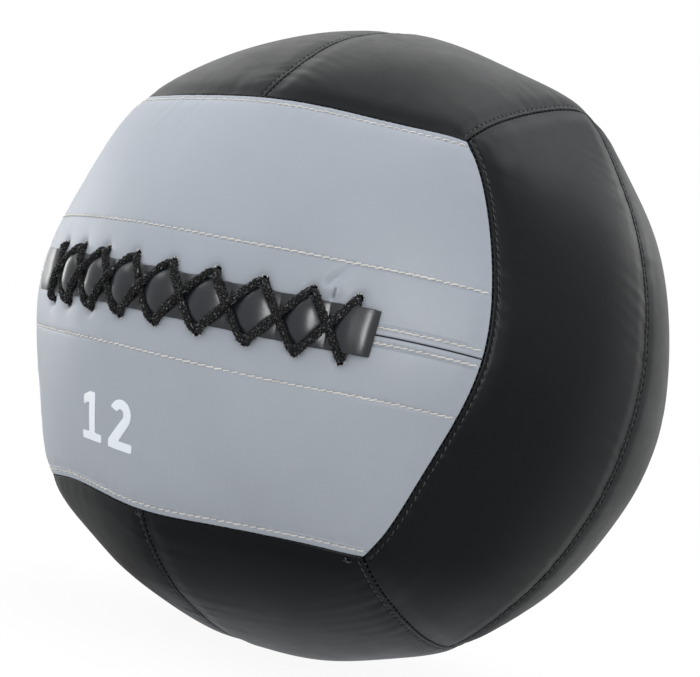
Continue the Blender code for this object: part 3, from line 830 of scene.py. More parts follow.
def edgeSteps():
    # From the turned-in edge out over the roll: (distance from the seam, drop)
    gap, roll = panelSheet["gap"], panelSheet["rollRadius"]
    steps = [(gap, roll + panelSheet["turnedIn"]), (gap, roll + panelSheet["turnedIn"] / 2)]
    for turn in panelMesh["edgeTurns"]:
        angle = math.radians(turn)
        steps.append((gap + roll * (1 - math.cos(angle)), roll * (1 - math.sin(angle))))
    return steps


def panelRows(name):
    face, _, splitRow = panels[name]
    slot = rowSlot(face)
    nearSeam = list(panelMesh["seamRows"][slot])
    nearSeam += [threadRow["fromSeam"][slot] + step for step in panelMesh["threadRows"]]
    nearSeam += panelMesh["valleyRows"]
    inner = nearSeam if splitRow else list(panelMesh["plainRows"])
    middleRows = []
    if face == "front":
        middleRows = list(np.arange(*panelMesh["holeRows"])) + list(panelMesh["facingRows"])
    low, high, count = panelMesh["greyMiddleRows" if face == "front" else "blackMiddleRows"]
    middleRows += list(np.linspace(low, outerArc - high, count))
    start = edgeSteps()
    rows = start + [(arc, 0.0) for arc in inner + middleRows]
    rows += [(outerArc - arc, 0.0) for arc in nearSeam[::-1]]
    return rows + [(outerArc - arc, drop) for arc, drop in start[::-1]]


def panelColumns(name):
    edge = edgeSteps() + [(distance, 0.0) for distance in panelMesh["endColumns"]]
    return edge, np.linspace(-1, 1, panelMesh["columns"][panels[name][0]] + 1)[1:-1]


def makePanel(name):
    face, side, _ = panels[name]
    rows = panelRows(name)
    edge, shares = panelColumns(name)
    arcs = np.array([arc for arc, _ in rows])[:, None]
    drops = np.array([drop for _, drop in rows])[:, None]
    left = np.hstack([-angleAt(arcs, distance) for distance, _ in edge])
    inner = angleAt(arcs, edge[-1][0]) * shares[None, :]
    angles = np.hstack([left, inner, -left[:, ::-1]])
    edgeDrops = [drop for _, drop in edge]
    columnDrops = np.array(edgeDrops + [0.0] * len(shares) + edgeDrops[::-1])[None, :]
    arcs = np.broadcast_to(arcs, angles.shape)
    drop = np.maximum(drops, columnDrops)
    if face == "front":
        arcs, angles, gone = openLaceHoles(arcs.copy(), angles, side)
    points = panelPoints(name, arcs, angles, drop)
    normal, split, across = faces[face]
    flip = np.dot(np.cross(split, across), normal) * side < 0
    polygons = gridPolygons(*angles.shape, flip)
    if face == "front":
        gone = gone.ravel()
        polygons = [corners for corners in polygons if not gone[corners].all()]
    piece = newObject(name + "_vinyl", meshFrom(name + "_vinyl", points.reshape(-1, 3), polygons))
    flat = np.stack([ball["radius"] * np.cos(arcs / ball["radius"]) * angles, arcs], axis=-1)
    addUv(piece.data, flat.reshape(-1, 2)[loopVertices(piece.data)])
    if face == "front":
        dropLoose(piece.data)
    thicken(piece, panelSheet["thickness"])
    slot = "grey_vinyl" if face == "front" else "black_vinyl"
    paint(piece, materials[slot])
    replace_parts(piece, name)
    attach(piece, "root")
    along, across, area = panelCut()


def panelCut():
    # The flat size of one half panel with its sewn-in edges, and its area
    extra = panelSheet["turnedIn"] + panelSheet["rollRadius"]
    arcs = np.linspace(0, outerArc, 200)
    lengths = 2 * angleAt(arcs, 0) * ball["radius"] * np.cos(arcs / ball["radius"])
    lengths = lengths + 2 * extra
    width = outerArc + 2 * extra
    return float(lengths.max()), float(width), float(lengths.mean() * width)


def openLaceHoles(arcs, angles, side):
    # Points inside a hole go, and those on its rim move out to a true circle
    gone = np.zeros(arcs.shape, bool)
    radius = lacing["holeRadius"]
    ring = ball["radius"] * np.cos(arcs / ball["radius"])
    around = angles * ring
    for holeAround, holeUp in laceHoles():
        if holeUp * side < 0:
            continue
        acrossHole = around - holeAround
        upHole = arcs - lacing["holeRow"]
        away = np.hypot(acrossHole, upHole)
        inside = away < radius
        gone |= inside
        scale = np.where(inside, radius / np.maximum(away, 1e-9), 1.0)
        around = np.where(inside, holeAround + acrossHole * scale, around)
        arcs = np.where(inside, lacing["holeRow"] + upHole * scale, arcs)
    return arcs, around / ring, gone


def dropLoose(mesh):
    work = bmesh.new()
    work.from_mesh(mesh)
    loose = [vert for vert in work.verts if not vert.link_faces]
    bmesh.ops.delete(work, geom=loose, context="VERTS")
    work.to_mesh(mesh)
    work.free()


for panelName in panels:
    makePanel(panelName)
print("panels made")


# The thread rows

def stitchTree():
    # A tree that lays one stitch on each point, along its tangent and normal
    tree = bpy.data.node_groups.new("stitchRow", "GeometryNodeTree")
    sizes = {
        "Stitch Length": threadRow["stitchLength"]["white_thread"],
        "Thickness": threadRow["thickness"]["white_thread"],
        "Rise": threadRow["rise"],
        "Sink": threadRow["sink"],
        "Slant": math.radians(threadRow["slant"]),
        "Jitter": math.radians(threadRow["jitter"]),
        "Unevenness": threadRow["unevenness"],
    }

    def socket(label, kind, way="INPUT"):
        return tree.interface.new_socket(name=label, in_out=way, socket_type="NodeSocket" + kind)

    def combine(x, y, z):
        return addNode(tree, "ShaderNodeCombineXYZ", {0: x, 1: y, 2: z}).outputs[0]

    def chance(low, high, seed):
        inputs = {2: low, 3: high, "Seed": seed}
        return addNode(tree, "FunctionNodeRandomValue", inputs, data_type="FLOAT").outputs[1]

    def attribute(label):
        return addNode(tree, "GeometryNodeInputNamedAttribute", {"Name": label},
                       data_type="FLOAT_VECTOR").outputs["Attribute"]

    socket("Geometry", "Geometry")
    for label, value in sizes.items():
        socket(label, "Float").default_value = value
    socket("Seed", "Int").default_value = 3
    socket("Material", "Material")
    socket("Geometry", "Geometry", "OUTPUT")
    start = addNode(tree, "NodeGroupInput").outputs

    # One stitch: a short arched tube, its ends sunk in the vinyl
    half = mathNode(tree, "MULTIPLY", start["Stitch Length"], 0.5)
    back = mathNode(tree, "MULTIPLY", half, -1.0)
    low = mathNode(tree, "MULTIPLY", start["Sink"], -1.0)
    top = mathNode(tree, "ADD", mathNode(tree, "MULTIPLY", start["Rise"], 2.0), start["Sink"])
    path = addNode(tree, "GeometryNodeCurveQuadraticBezier", {
        "Resolution": 6, "Start": combine(back, 0.0, low), "Middle": combine(0.0, 0.0, top),
        "End": combine(half, 0.0, low)})
    profile = addNode(tree, "GeometryNodeCurvePrimitiveCircle", {
        "Resolution": 7, "Radius": mathNode(tree, "MULTIPLY", start["Thickness"], 0.5)})
    tube = addNode(tree, "GeometryNodeCurveToMesh", {
        "Curve": path.outputs[0], "Profile Curve": profile.outputs[0], "Fill Caps": True})

    # Each is turned to its row, and differs a little from the next
    turn = addNode(tree, "FunctionNodeAxesToRotation",
                   {0: attribute("outward"), 1: attribute("along")},
                   primary_axis="Z", secondary_axis="X")
    least = mathNode(tree, "MULTIPLY", start["Jitter"], -1.0)
    lean = mathNode(tree, "ADD", start["Slant"], chance(least, start["Jitter"], start["Seed"]))
    lay = addNode(tree, "FunctionNodeRotateRotation",
                  {0: turn.outputs[0], 1: combine(0.0, 0.0, lean)}, rotation_space="LOCAL")
    size = chance(mathNode(tree, "SUBTRACT", 1.0, start["Unevenness"]),
                  mathNode(tree, "ADD", 1.0, start["Unevenness"]),
                  mathNode(tree, "ADD", start["Seed"], 71))
    stitches = addNode(tree, "GeometryNodeInstanceOnPoints", {
        "Points": start["Geometry"], "Instance": tube.outputs[0],
        "Rotation": lay.outputs[0], "Scale": size})
    real = addNode(tree, "GeometryNodeRealizeInstances", {0: stitches.outputs[0]})
    smooth = addNode(tree, "GeometryNodeSetShadeSmooth", {0: real.outputs[0]})
    finish = addNode(tree, "GeometryNodeSetMaterial",
                     {"Geometry": smooth.outputs[0], "Material": start["Material"]})
    addNode(tree, "NodeGroupOutput", {0: finish.outputs[0]})
    return tree


stitchRowTree = stitchTree()


def treeInput(modifier, label, value):
    for item in modifier.node_group.interface.items_tree:
        if item.item_type == "SOCKET" and item.in_out == "INPUT" and item.name == label:
            modifier[item.identifier] = value
            return


def unit(vectors):
    return vectors / np.linalg.norm(vectors, axis=-1, keepdims=True)


def rowPlaces(panel, arc, count):
    # Evenly spaced places along a row, with the directions along it and out of the vinyl
    ring = ball["radius"] * math.cos(arc / ball["radius"])
    places = (np.arange(count) + 0.5) / count
    angles = (places * 2 - 1) * rowEnd(arc)
    arcs = np.full(count, arc)
    turn, rise = 0.0006 / ring, 0.0016  # steps over which the directions are measured
    here = panelPoints(panel, arcs, angles)
    along = panelPoints(panel, arcs, angles + turn) - panelPoints(panel, arcs, angles - turn)
    across = panelPoints(panel, arcs + rise, angles) - panelPoints(panel, arcs - rise, angles)
    outward = np.cross(along, across)
    outward *= np.sign((outward * (here - middle)).sum(axis=1))[:, None]
    return here, along, unit(outward)


def layStitches(name, places, along, outward, slot, sizes):
    mesh = bpy.data.meshes.new(name)
    mesh.from_pydata([tuple(place) for place in places], [], [])
    for label, values in (("along", along), ("outward", outward)):
        layer = mesh.attributes.new(label, "FLOAT_VECTOR", "POINT")
        layer.data.foreach_set("vector", values.astype(np.float32).ravel())
    piece = newObject(name, mesh)
    rowModifier = piece.modifiers.new("stitches", "NODES")
    rowModifier.node_group = stitchRowTree
    for label, value in sizes.items():
        treeInput(rowModifier, label, value)
    treeInput(rowModifier, "Material", materials[slot])
    applied(piece)
    paint(piece, materials[slot])
    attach(piece, "root")
    return piece


def makeStitches(node, panel, arc, seed):
    slot = rowSlot(panels[panel][0])
    here, along, outward = rowPlaces(panel, arc, rowCount(rowLength(arc)))
    thickness = threadRow["thickness"][slot]
    sizes = {"Seed": seed, "Thickness": thickness,
             "Stitch Length": threadRow["stitchLength"][slot]}
    places = here + outward * thickness * threadRow["raised"]
    piece = layStitches(node + "_stitches", places, along, outward, slot, sizes)
    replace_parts(piece, node)


splitRows = {
    "closure_thread_upper": "front_panel_upper",
    "closure_thread_lower": "front_panel_lower",
    "rear_split_thread": "rear_panel_upper",
    "right_split_thread": "right_panel_rear",
    "left_split_thread": "left_panel_rear",
    "top_split_thread": "top_panel_left",
    "bottom_split_thread": "bottom_panel_left",
}
rowList = []
for panelName, (face, _, _) in panels.items():
    rowName = panelName.replace("_panel", "") + "_edge_thread"
    rowList.append((rowName, panelName, outerArc - threadRow["fromSeam"][rowSlot(face)]))
for rowName, panelName in splitRows.items():
    fromSeam = threadRow["fromSeam"][rowSlot(panels[panelName][0])]
    rowList.append((rowName, panelName, fromSeam))
for half in ("upper", "lower"):
    rowList.append(("facing_thread_" + half, "front_panel_" + half, threadRow["facingRow"]))
for seed, row in enumerate(rowList, 20):
    makeStitches(*row, seed)


# The thread that joins two panels, seen as short bars in the seam between them
joiningThread = {
    "pitch": 0.0034,
    "length": 0.0017,
    "thickness": 0.00045,
    "depth": 0.00060,
    "rise": 0.00015,
    "sink": 0.0003,
    "slant": 62.0,
    "splits": ("rear_panel_upper", "right_panel_rear", "left_panel_rear", "top_panel_left",
               "bottom_panel_left"),
}


def makeJoiningThread():
    found = []
    rows = [(panel, outerArc) for panel in panels]
    for panel, arc in rows + [(panel, 0.0) for panel in joiningThread["splits"]]:
        found.append(rowPlaces(panel, arc, round(rowLength(arc) / joiningThread["pitch"])))
    here, along, outward = (np.vstack(parts) for parts in zip(*found))
    sizes = {"Seed": 9, "Thickness": joiningThread["thickness"],
             "Stitch Length": joiningThread["length"], "Rise": joiningThread["rise"],
             "Sink": joiningThread["sink"], "Slant": math.radians(joiningThread["slant"])}
    layStitches("seam_joining_thread", here - outward * joiningThread["depth"], along, outward,
                "black_thread", sizes)


makeJoiningThread()
print("thread rows made")


# The lacing

lace = {
    "diameter": 0.0033,
    "strandOffset": 0.00085,
    "holePinch": 0.62,
    "insidePinch": 0.80,
    "crossingPinch": 0.14,
    "crossingWidth": 0.25,
    "rimHeight": 0.0014,             # of the cord's middle over the ball, where it leaves a hole
    "underHeight": 0.0023,           # and of the two strands where they cross
    "overHeight": 0.0044,
    "knot": 1.22,
    "sides": 35,
    "step": 0.00037,                 # from one ring of points to the next
    "insideStep": 0.0014,
    "insideDepth": 0.0020,           # deeper than this under the ball's face, nothing shows
    "spanSteps": 12,                 # in which the route is first drawn from point to point
    "strands": 5,                    # in each direction round the braid
    "strandAngle": 44.0,
    "strandHeight": 0.00098,
    "strandRound": 0.70,             # of that height: how round a strand is across,
    "strandDip": 0.45,               # how far it dips under the next,
    "strandMean": 0.75,              # and the height that the cord's diameter is measured at
    "strandFuzz": 0.16,
    "strandWander": 0.20,
    "wanderWaves": ((0.0061, 2), (0.0037, -1), (0.0093, 1)),  # length, and turns round the cord
    "unevenness": 0.06,
    "swellLengths": (0.0047, 0.0083, 0.019),
    "flatShare": 0.9,                # it is a little flat, and that side turns along the cord
    "flatTurn": 55,
}

# What lies between the ball's face and the runs of cord behind it
behindFace = {
    "sag": 0.22,                     # share of the front that one flat of the CAD spans
    "valley": 0.0018,
    "panel": 0.0020,
    "facing": 0.0012,
    "clearance": 0.0003,
    "betweenRuns": 0.0005,
}
laceRadius = lace["diameter"] / 2
insideRadius = laceRadius * lace["insidePinch"]
columnSag = ball["radius"] * (1 - math.cos(behindFace["sag"] * endAngle / 2))
innerFace = (ball["radius"] - columnSag - behindFace["valley"] - behindFace["panel"]
             - behindFace["clearance"])
shallowLink = innerFace - behindFace["facing"] - behindFace["clearance"] - insideRadius
deepLink = shallowLink - 2 * insideRadius - behindFace["betweenRuns"]
# Along from the hole in diameters, height over the ball, and how full the cord is
outerBend = ((0.0, -0.0027, 0.0), (0.16, -0.0010, 0.40), (0.42, 0.0004, 0.85),
             (0.85, lace["rimHeight"], 1.0))
innerBend = ((0.0, 1.07, 0.0), (0.3, 0.53, 0.2), (0.75, 0.21, 0.6), (1.4, 0.0, 1.0))
knotSteps = ((0.6, 1.0), (1.3, 1.0), (1.7, 0.5))
tentTop = 0.16                       # how softly a strand turns over at the crossing


def onFront(around, up, radius):
    longitude = around / ball["radius"]
    latitude = up / ball["radius"]
    flat = radius * math.cos(latitude)
    return np.array((flat * math.sin(longitude), -flat * math.cos(longitude),
                     radius * math.sin(latitude)))


def bendPoints(around, up, toward, run, outward):
    length = math.hypot(*toward)
    runShare = 1.0 if outward > 0 else lace["insidePinch"]
    points = []
    for along, drop, swell in outerBend if outward > 0 else innerBend:
        step = along * lace["diameter"] / length
        radius = ball["radius"] + drop if outward > 0 else run + drop * lace["diameter"]
        place = onFront(around + toward[0] * step, up + toward[1] * step, radius)
        points.append((place, lace["holePinch"] + (runShare - lace["holePinch"]) * swell))
    return points


def laceRun(start, end, run, count, outward):
    # Outside, run is the height at the crossing, and the strand is taut from either rim to there
    toward = (end[0] - start[0], end[1] - start[1])
    back = (-toward[0], -toward[1])
    bend = outerBend if outward > 0 else innerBend
    skip = bend[-1][0] * lace["diameter"] / math.hypot(*toward)
    inner = []
    for i in range(count):
        share = skip + (1 - 2 * skip) * (i + 1) / (count + 1)
        off = abs(share - 1 / 2) / (1 / 2 - skip)
        radius, size = run, lace["insidePinch"]
        if outward > 0:
            tent = 1 - (math.hypot(off, tentTop) - tentTop) / (math.hypot(1, tentTop) - tentTop)
            radius = ball["radius"] + lace["rimHeight"] + (run - lace["rimHeight"]) * tent
            size = 1.0 - lace["crossingPinch"] * math.exp(-(off / lace["crossingWidth"]) ** 2)
        place = onFront(start[0] + toward[0] * share, start[1] + toward[1] * share, radius)
        inner.append((place, size))
    ends = [bendPoints(*place, way, run, outward) for place, way in ((start, toward), (end, back))]
    return ends[0] + inner + ends[1][::-1]


def laceTail(start, upSign):
    points = bendPoints(*start, (0, -upSign), shallowLink, -1)
    run = shallowLink + insideRadius - lace["knot"] * laceRadius
    reach = innerBend[-1][0] * lace["diameter"]
    for along, size in knotSteps:
        up = start[1] - upSign * (reach + along * lace["diameter"])
        points.append((onFront(start[0], up, run), lace["knot"] * size))
    return points


def strandPlace(pair, side, half):
    # Two strands share a hole, side by side, but for the first and the last pair
    around, up = holePlace(pair, side)
    alone = pair in (0, lacing["pairs"] - 1)
    return around + (0 if alone else half * lace["strandOffset"]), up


def laceRoute():
    # From one end, knotted inside at the last pair of holes, to the first pair and back again
    last = lacing["pairs"] - 1
    outer, inner = 9, 3              # points along a strand outside and inside
    points = laceTail(strandPlace(last, -1, 0), -1)[::-1]
    for pair in range(last - 1, -1, -1):
        high = strandPlace(pair, 1, 1)
        points += laceRun(strandPlace(pair + 1, -1, -1), high, lace["underHeight"], outer, 1)
        if pair:
            points += laceRun(high, strandPlace(pair, -1, -1), shallowLink, inner, -1)
    points += laceRun(strandPlace(0, 1, 1), strandPlace(0, -1, 1), shallowLink, inner, -1)
    for pair in range(last):
        high = strandPlace(pair + 1, 1, -1)
        points += laceRun(strandPlace(pair, -1, 1), high, lace["overHeight"], outer, 1)
        if pair + 1 < last:
            points += laceRun(high, strandPlace(pair + 1, -1, 1), deepLink, inner, -1)
    return points + laceTail(strandPlace(last, 1, 0), 1)


def smoothPath(places, sizes):
    # Catmull-Rom through the route's points, then even steps along it, longer where it is hidden
    places, sizes = np.array(places), np.array(sizes)
    keep = np.r_[True, np.linalg.norm(np.diff(places, axis=0), axis=1) > 1e-5]
    places, sizes = places[keep], sizes[keep]
    padded = np.vstack([2 * places[0] - places[1], places, 2 * places[-1] - places[-2]])
    spans = np.sqrt(np.linalg.norm(np.diff(padded, axis=0), axis=1))
    fine, fineSizes = [], []
    for i in range(len(places) - 1):
        a, b, c, d = padded[i:i + 4]
        t0, t1, t2, t3 = np.r_[0, np.cumsum(spans[i:i + 3])]
        for share in np.linspace(0, 1, lace["spanSteps"], endpoint=False):
            t = t1 + (t2 - t1) * share
            ab = a + (b - a) * (t - t0) / (t1 - t0)
            bc = b + (c - b) * (t - t1) / (t2 - t1)
            cd = c + (d - c) * (t - t2) / (t3 - t2)
            abc = ab + (bc - ab) * (t - t0) / (t2 - t0)
            bcd = bc + (cd - bc) * (t - t1) / (t3 - t1)
            fine.append(abc + (bcd - abc) * (t - t1) / (t2 - t1))
            fineSizes.append(sizes[i] + (sizes[i + 1] - sizes[i]) * share)
    fine.append(places[-1])
    fineSizes.append(sizes[-1])
    fine = np.array(fine)
    travel = np.r_[0, np.cumsum(np.linalg.norm(np.diff(fine, axis=0), axis=1))]
    deep = np.linalg.norm(fine, axis=1) < ball["radius"] - lace["insideDepth"]
    steps = np.where(deep, lace["insideStep"], lace["step"])
    rings = np.r_[0, np.cumsum(np.diff(travel) / (steps[1:] + steps[:-1]) * 2)]
    even = np.interp(np.linspace(0, rings[-1], int(rings[-1]) + 1), rings, travel)
    path = np.stack([np.interp(even, travel, fine[:, k]) for k in range(3)], axis=1)
    return path, np.interp(even, travel, fineSizes), even


def tubeFrames(path):
    # Two directions square to the path at each point, carried along without twist
    tangents = np.gradient(path, axis=0)
    tangents /= np.linalg.norm(tangents, axis=1)[:, None]
    side = np.cross(tangents[0], (0.0, 0.0, 1.0))
    if np.linalg.norm(side) < 1e-3:
        side = np.cross(tangents[0], (1.0, 0.0, 0.0))
    side /= np.linalg.norm(side)
    sides = [side]
    for tangent in tangents[1:]:
        side = sides[-1] - tangent * np.dot(sides[-1], tangent)
        sides.append(side / np.linalg.norm(side))
    sides = np.array(sides)
    return sides, np.cross(tangents, sides)


def braidHeight(rising, falling):
    # Height of a plain braid: each strand is round across and dips under the next
    i, j = np.floor(rising), np.floor(falling)
    acrossUp = 1 - (2 * (rising - i) - 1) ** 2
    acrossDown = 1 - (2 * (falling - j) - 1) ** 2
    dipUp, dipDown = (lace["strandDip"] * np.cos(math.pi * (place - 0.5 + strand))
                      for place, strand in ((falling, i), (rising, j)))
    up = acrossUp * lace["strandRound"] + dipUp
    down = acrossDown * lace["strandRound"] - dipDown
    return np.maximum(up, down) - lace["strandMean"]


def braidUv(mesh, run):
    # Strands round the cord and lays along it. The last strip closes the round, so its zero
    # column is read as a full turn
    sides, strands = lace["sides"], lace["strands"]
    vertex = loopVertices(mesh)
    ring, side = vertex // sides, vertex % sides
    starts = np.empty(len(mesh.polygons), dtype=np.int32)
    mesh.polygons.foreach_get("loop_start", starts)
    owner = np.repeat(np.arange(len(starts)), np.diff(np.r_[starts, len(vertex)]))
    wraps = (owner % sides == sides - 1) & (side == 0) & (owner < (len(run) - 1) * sides)
    turn = np.where(wraps, strands, side / sides * strands)
    addUv(mesh, np.stack([turn, run[ring, side]], axis=1))


def makeBraid(name, places, sizes):
    path, thick, travel = smoothPath(places, sizes)
    path = settle(path + middle)
    sideways, upward = tubeFrames(path)
    sides, strands = lace["sides"], lace["strands"]
    turns = np.arange(sides) / sides
    angles = turns * 2 * math.pi
    strandWidth = math.pi * lace["diameter"] / strands
    lay = strandWidth / math.tan(math.radians(lace["strandAngle"]))
    run = np.repeat((travel / lay)[:, None], sides, axis=1)
    random = np.random.default_rng(5)
    # The strands don't lie quite evenly
    for length, rounds in lace["wanderWaves"]:
        phase = random.uniform(0, 6)
        wave = 2 * math.pi * travel[:, None] / length + rounds * angles[None, :] + phase
        run += lace["strandWander"] * np.cos(wave)
    around = turns[None, :] * strands
    height = braidHeight(around + run, around - run)
    height = height + random.normal(0, lace["strandFuzz"], height.shape)
    # The cord is a little uneven along its length and flatter in places
    swell = sum(np.cos(travel * 2 * math.pi / length + random.uniform(0, 6))
                for length in lace["swellLengths"])
    flat = np.cos(2 * (angles[None, :] - random.uniform(0, 3) - travel[:, None] * lace["flatTurn"]))
    uneven = 1 + lace["unevenness"] * (swell[:, None] / 2 + lace["flatShare"] * flat)
    radius = thick[:, None] * (lace["diameter"] / 2 * uneven + lace["strandHeight"] * height)
    spokes = (np.cos(angles)[None, :, None] * sideways[:, None, :]
              + np.sin(angles)[None, :, None] * upward[:, None, :])
    points = (path[:, None, :] + radius[..., None] * spokes).reshape(-1, 3)
    polygons = gridPolygons(len(path), sides, False, closed=True)
    last = (len(path) - 1) * sides
    polygons += [list(range(sides))[::-1], [last + k for k in range(sides)]]
    mesh = meshFrom(name, points, polygons)
    braidUv(mesh, run)
    piece = newObject(name, mesh)
    paint(piece, materials["lace_cord"])
    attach(piece, "root")
    print(f"{name}: {travel[-1]:.3f} m long, {len(polygons)} faces")
    return piece


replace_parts(makeBraid("lace_braid", *zip(*laceRoute())), "lace")

# At the last pair of holes the cord also runs straight across, under the end of the tongue
endLoop = {
    "pastHoles": 0.0016,
    # From an end to its middle: share of the way out, height over the ball, and thickness
    "steps": ((1.00, -0.0036, 0.55), (0.97, -0.0012, 0.62), (0.90, 0.0008, 0.74),
              (0.78, 0.0014, 0.74), (0.60, 0.0012, 0.66), (0.30, 0.0011, 0.62),
              (0.0, 0.0011, 0.62)),
}


def makeEndLoop():
    around = laceReach + endLoop["pastHoles"]
    places = [onFront(around - endLoop["pastHoles"] * share ** 6, share * lacing["holeRow"],
                      ball["radius"] + height) for share, height, _ in endLoop["steps"]]
    sizes = [size for _, _, size in endLoop["steps"]]
    mirrored = [place * (1, 1, -1) for place in places[:-1]]
    makeBraid("lace_end_loop", places + mirrored[::-1], sizes + sizes[:-1][::-1])


makeEndLoop()


# The tongue strip under the lacing

tongue = {
    "halfLength": 0.1095,
    "halfWidth": 0.0108,
    "thickness": 0.0008,
    "above": 0.0001,                 # where it lies lowest, over the grey vinyl
    "bulge": 0.0037,                 # how far it stands up between two crossings
    "bulgeShares": (0.85, 1.08),     # the least and the most of that at one pair of holes
    "ridgeSharpness": 1.15,
    "lean": 0.10,
    "edgeDrop": 0.88,                # how far its long edges lie down, and how much less so
    "edgeDropLess": 0.66,            # past the last holes,
    "pastFrom": 0.0100,              # from this far before them
    "pastOver": 0.0120,
    "pressedIn": 0.60,               # under a strand
    "pressedWidth": 0.0019,
    "endLength": 0.0096,
    "rightEndRoll": 0.88,
    "ripple": 0.00006,
    "rippleLength": 0.0037,
    "rimWidth": 0.00025,
    "columns": 441,
    "rows": 33,
}


def strandDistance(around, up):
    # How far a place lies from the nearest strand of the lacing
    least = np.full(around.shape, 1.0)  # farther than any
    for pair in range(lacing["pairs"] - 1):
        left = -laceReach + pair * lacing["pitch"]
        for rise in (1, -1):
            a = np.array((left, -rise * lacing["holeRow"]))
            b = np.array((left + lacing["pitch"], rise * lacing["holeRow"]))
            run = b - a
            share = np.clip(((around - a[0]) * run[0] + (up - a[1]) * run[1]) / (run @ run), 0, 1)
            away = np.hypot(around - a[0] - share * run[0], up - a[1] - share * run[1])
            least = np.minimum(least, away)
    return least


def smoothStep(value):
    value = np.clip(value, 0, 1)
    return value * value * (3 - 2 * value)


def tongueLift(around, up):
    # It stands up in one soft ridge at each pair of holes and lies low where the strands cross
    lean = around + tongue["lean"] * up
    cells = np.round((lean + laceReach) / lacing["pitch"])
    cells = np.clip(cells, 0, lacing["pairs"] - 1).astype(int)
    random = np.random.default_rng(8)
    vary = random.uniform(*tongue["bulgeShares"], lacing["pairs"])[cells]
    inside = np.clip(lean, -laceReach, laceReach)
    ridge = np.abs(np.cos(math.pi * inside / lacing["pitch"]))
    wide = np.abs(up) / tongue["halfWidth"]
    beyond = smoothStep((np.abs(lean) - laceReach + tongue["pastFrom"]) / tongue["pastOver"])
    edge = (tongue["edgeDrop"] - tongue["edgeDropLess"] * beyond) * wide ** 3
    lift = tongue["bulge"] * vary * ridge ** tongue["ridgeSharpness"] * (1 - edge)
    pressed = bell(strandDistance(around, up), tongue["pressedWidth"])
    lift = lift * (1 - tongue["pressedIn"] * pressed)
    # The right end rolls down to its cut edge
    toEnd = np.where(around > 0, (tongue["halfLength"] - around) / tongue["endLength"], 1.0)
    lift = lift * (1 - tongue["rightEndRoll"] * np.clip(1 - toEnd, 0, 1) ** 3)
    return lift + tongue["ripple"] * np.cos(around / tongue["rippleLength"] + 3 * wide)


def makeTongue():
    around = np.linspace(-tongue["halfLength"], tongue["halfLength"], tongue["columns"])[None, :]
    up = np.linspace(-tongue["halfWidth"], tongue["halfWidth"], tongue["rows"])[:, None]
    around, up = np.broadcast_arrays(around, up)
    angles = around / (ball["radius"] * np.cos(up / ball["radius"]))
    directions = panelDirections("front", 1, up, angles)
    radius = crownRadius(directions) + tongue["above"] + tongueLift(around, up)
    points = settle(directions * radius[..., None] + middle)
    polygons = gridPolygons(tongue["rows"], tongue["columns"], False)
    piece = newObject("tongue_strip_vinyl",
                      meshFrom("tongue_strip_vinyl", points.reshape(-1, 3), polygons))
    thicken(piece, tongue["thickness"], 1.0)
    rim = piece.modifiers.new("softRim", "BEVEL")
    rim.width = tongue["rimWidth"]
    rim.segments = 2
    rim.limit_method = "ANGLE"
    rim.angle_limit = math.radians(50)
    applied(piece)
    paint(piece, materials["tongue_vinyl"])
    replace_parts(piece, "tongue_strip")
    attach(piece, "root")


makeTongue()

# Pale threads of the vinyl's backing that stand out at the rim of each hole
holeFray = {
    "threads": 9,                    # at each hole
    "length": 0.00075,
    "thickness": 0.00024,
    "rim": 0.00235,
    "rimStray": (-0.0002, 0.0003),
    "outward": 0.0008,
    "turnStray": 0.15,               # past half a turn, at either end
    "riseStray": 0.0003,
    "above": 0.0001,
}


def makeHoleFray():
    random = np.random.default_rng(17)
    count = holeFray["threads"]
    arounds, ups, rises = [], [], []
    for holeAround, holeUp in laceHoles():
        stray = holeFray["turnStray"]
        turns = random.uniform(-stray, math.pi + stray, count)
        rim = holeFray["rim"] + random.uniform(*holeFray["rimStray"], count)
        rims = [rim + out for out in (0, holeFray["outward"])]
        arounds.append(np.stack([holeAround + np.cos(turns) * far for far in rims], axis=1))
        upward = np.sign(holeUp) * np.sin(turns)
        ups.append(np.stack([holeUp + upward * far for far in rims], axis=1))
        rises.append(random.uniform(-holeFray["riseStray"], holeFray["riseStray"], count))
    around, up, rise = np.vstack(arounds), np.vstack(ups), np.concatenate(rises)
    inner, outer = (frontPoints(around[:, k], up[:, k]) for k in (0, 1))
    outward = unit(inner - middle)
    along = outer - inner + outward * rise[:, None]
    sizes = {"Seed": 5, "Thickness": holeFray["thickness"], "Stitch Length": holeFray["length"],
             "Slant": 0.0, "Jitter": 0.7, "Unevenness": 0.5, "Sink": 0.0001, "Rise": 0.0002}
    places = inner + outward * holeFray["above"]
    layStitches("hole_fray", places, along, outward, "white_thread", sizes)


makeHoleFray()
print("lacing and tongue made")


# Loose ends of black thread, left where two seams end below the grey
threadTails = {
    "thickness": 0.00030,
    "length": 0.0030,
    "count": 4,                      # at each place
    "strayArc": 0.0009,
    "strayEnd": (-0.0006, 0.0010),
    "strayTurn": 1.3,
    "above": 0.0003,
    # Panel, distance from its split seam and from its end
    "places": (("bottom_panel_left", 0.0032, 0.0022),
               ("bottom_panel_right", outerArc - 0.0078, 0.0028)),
}


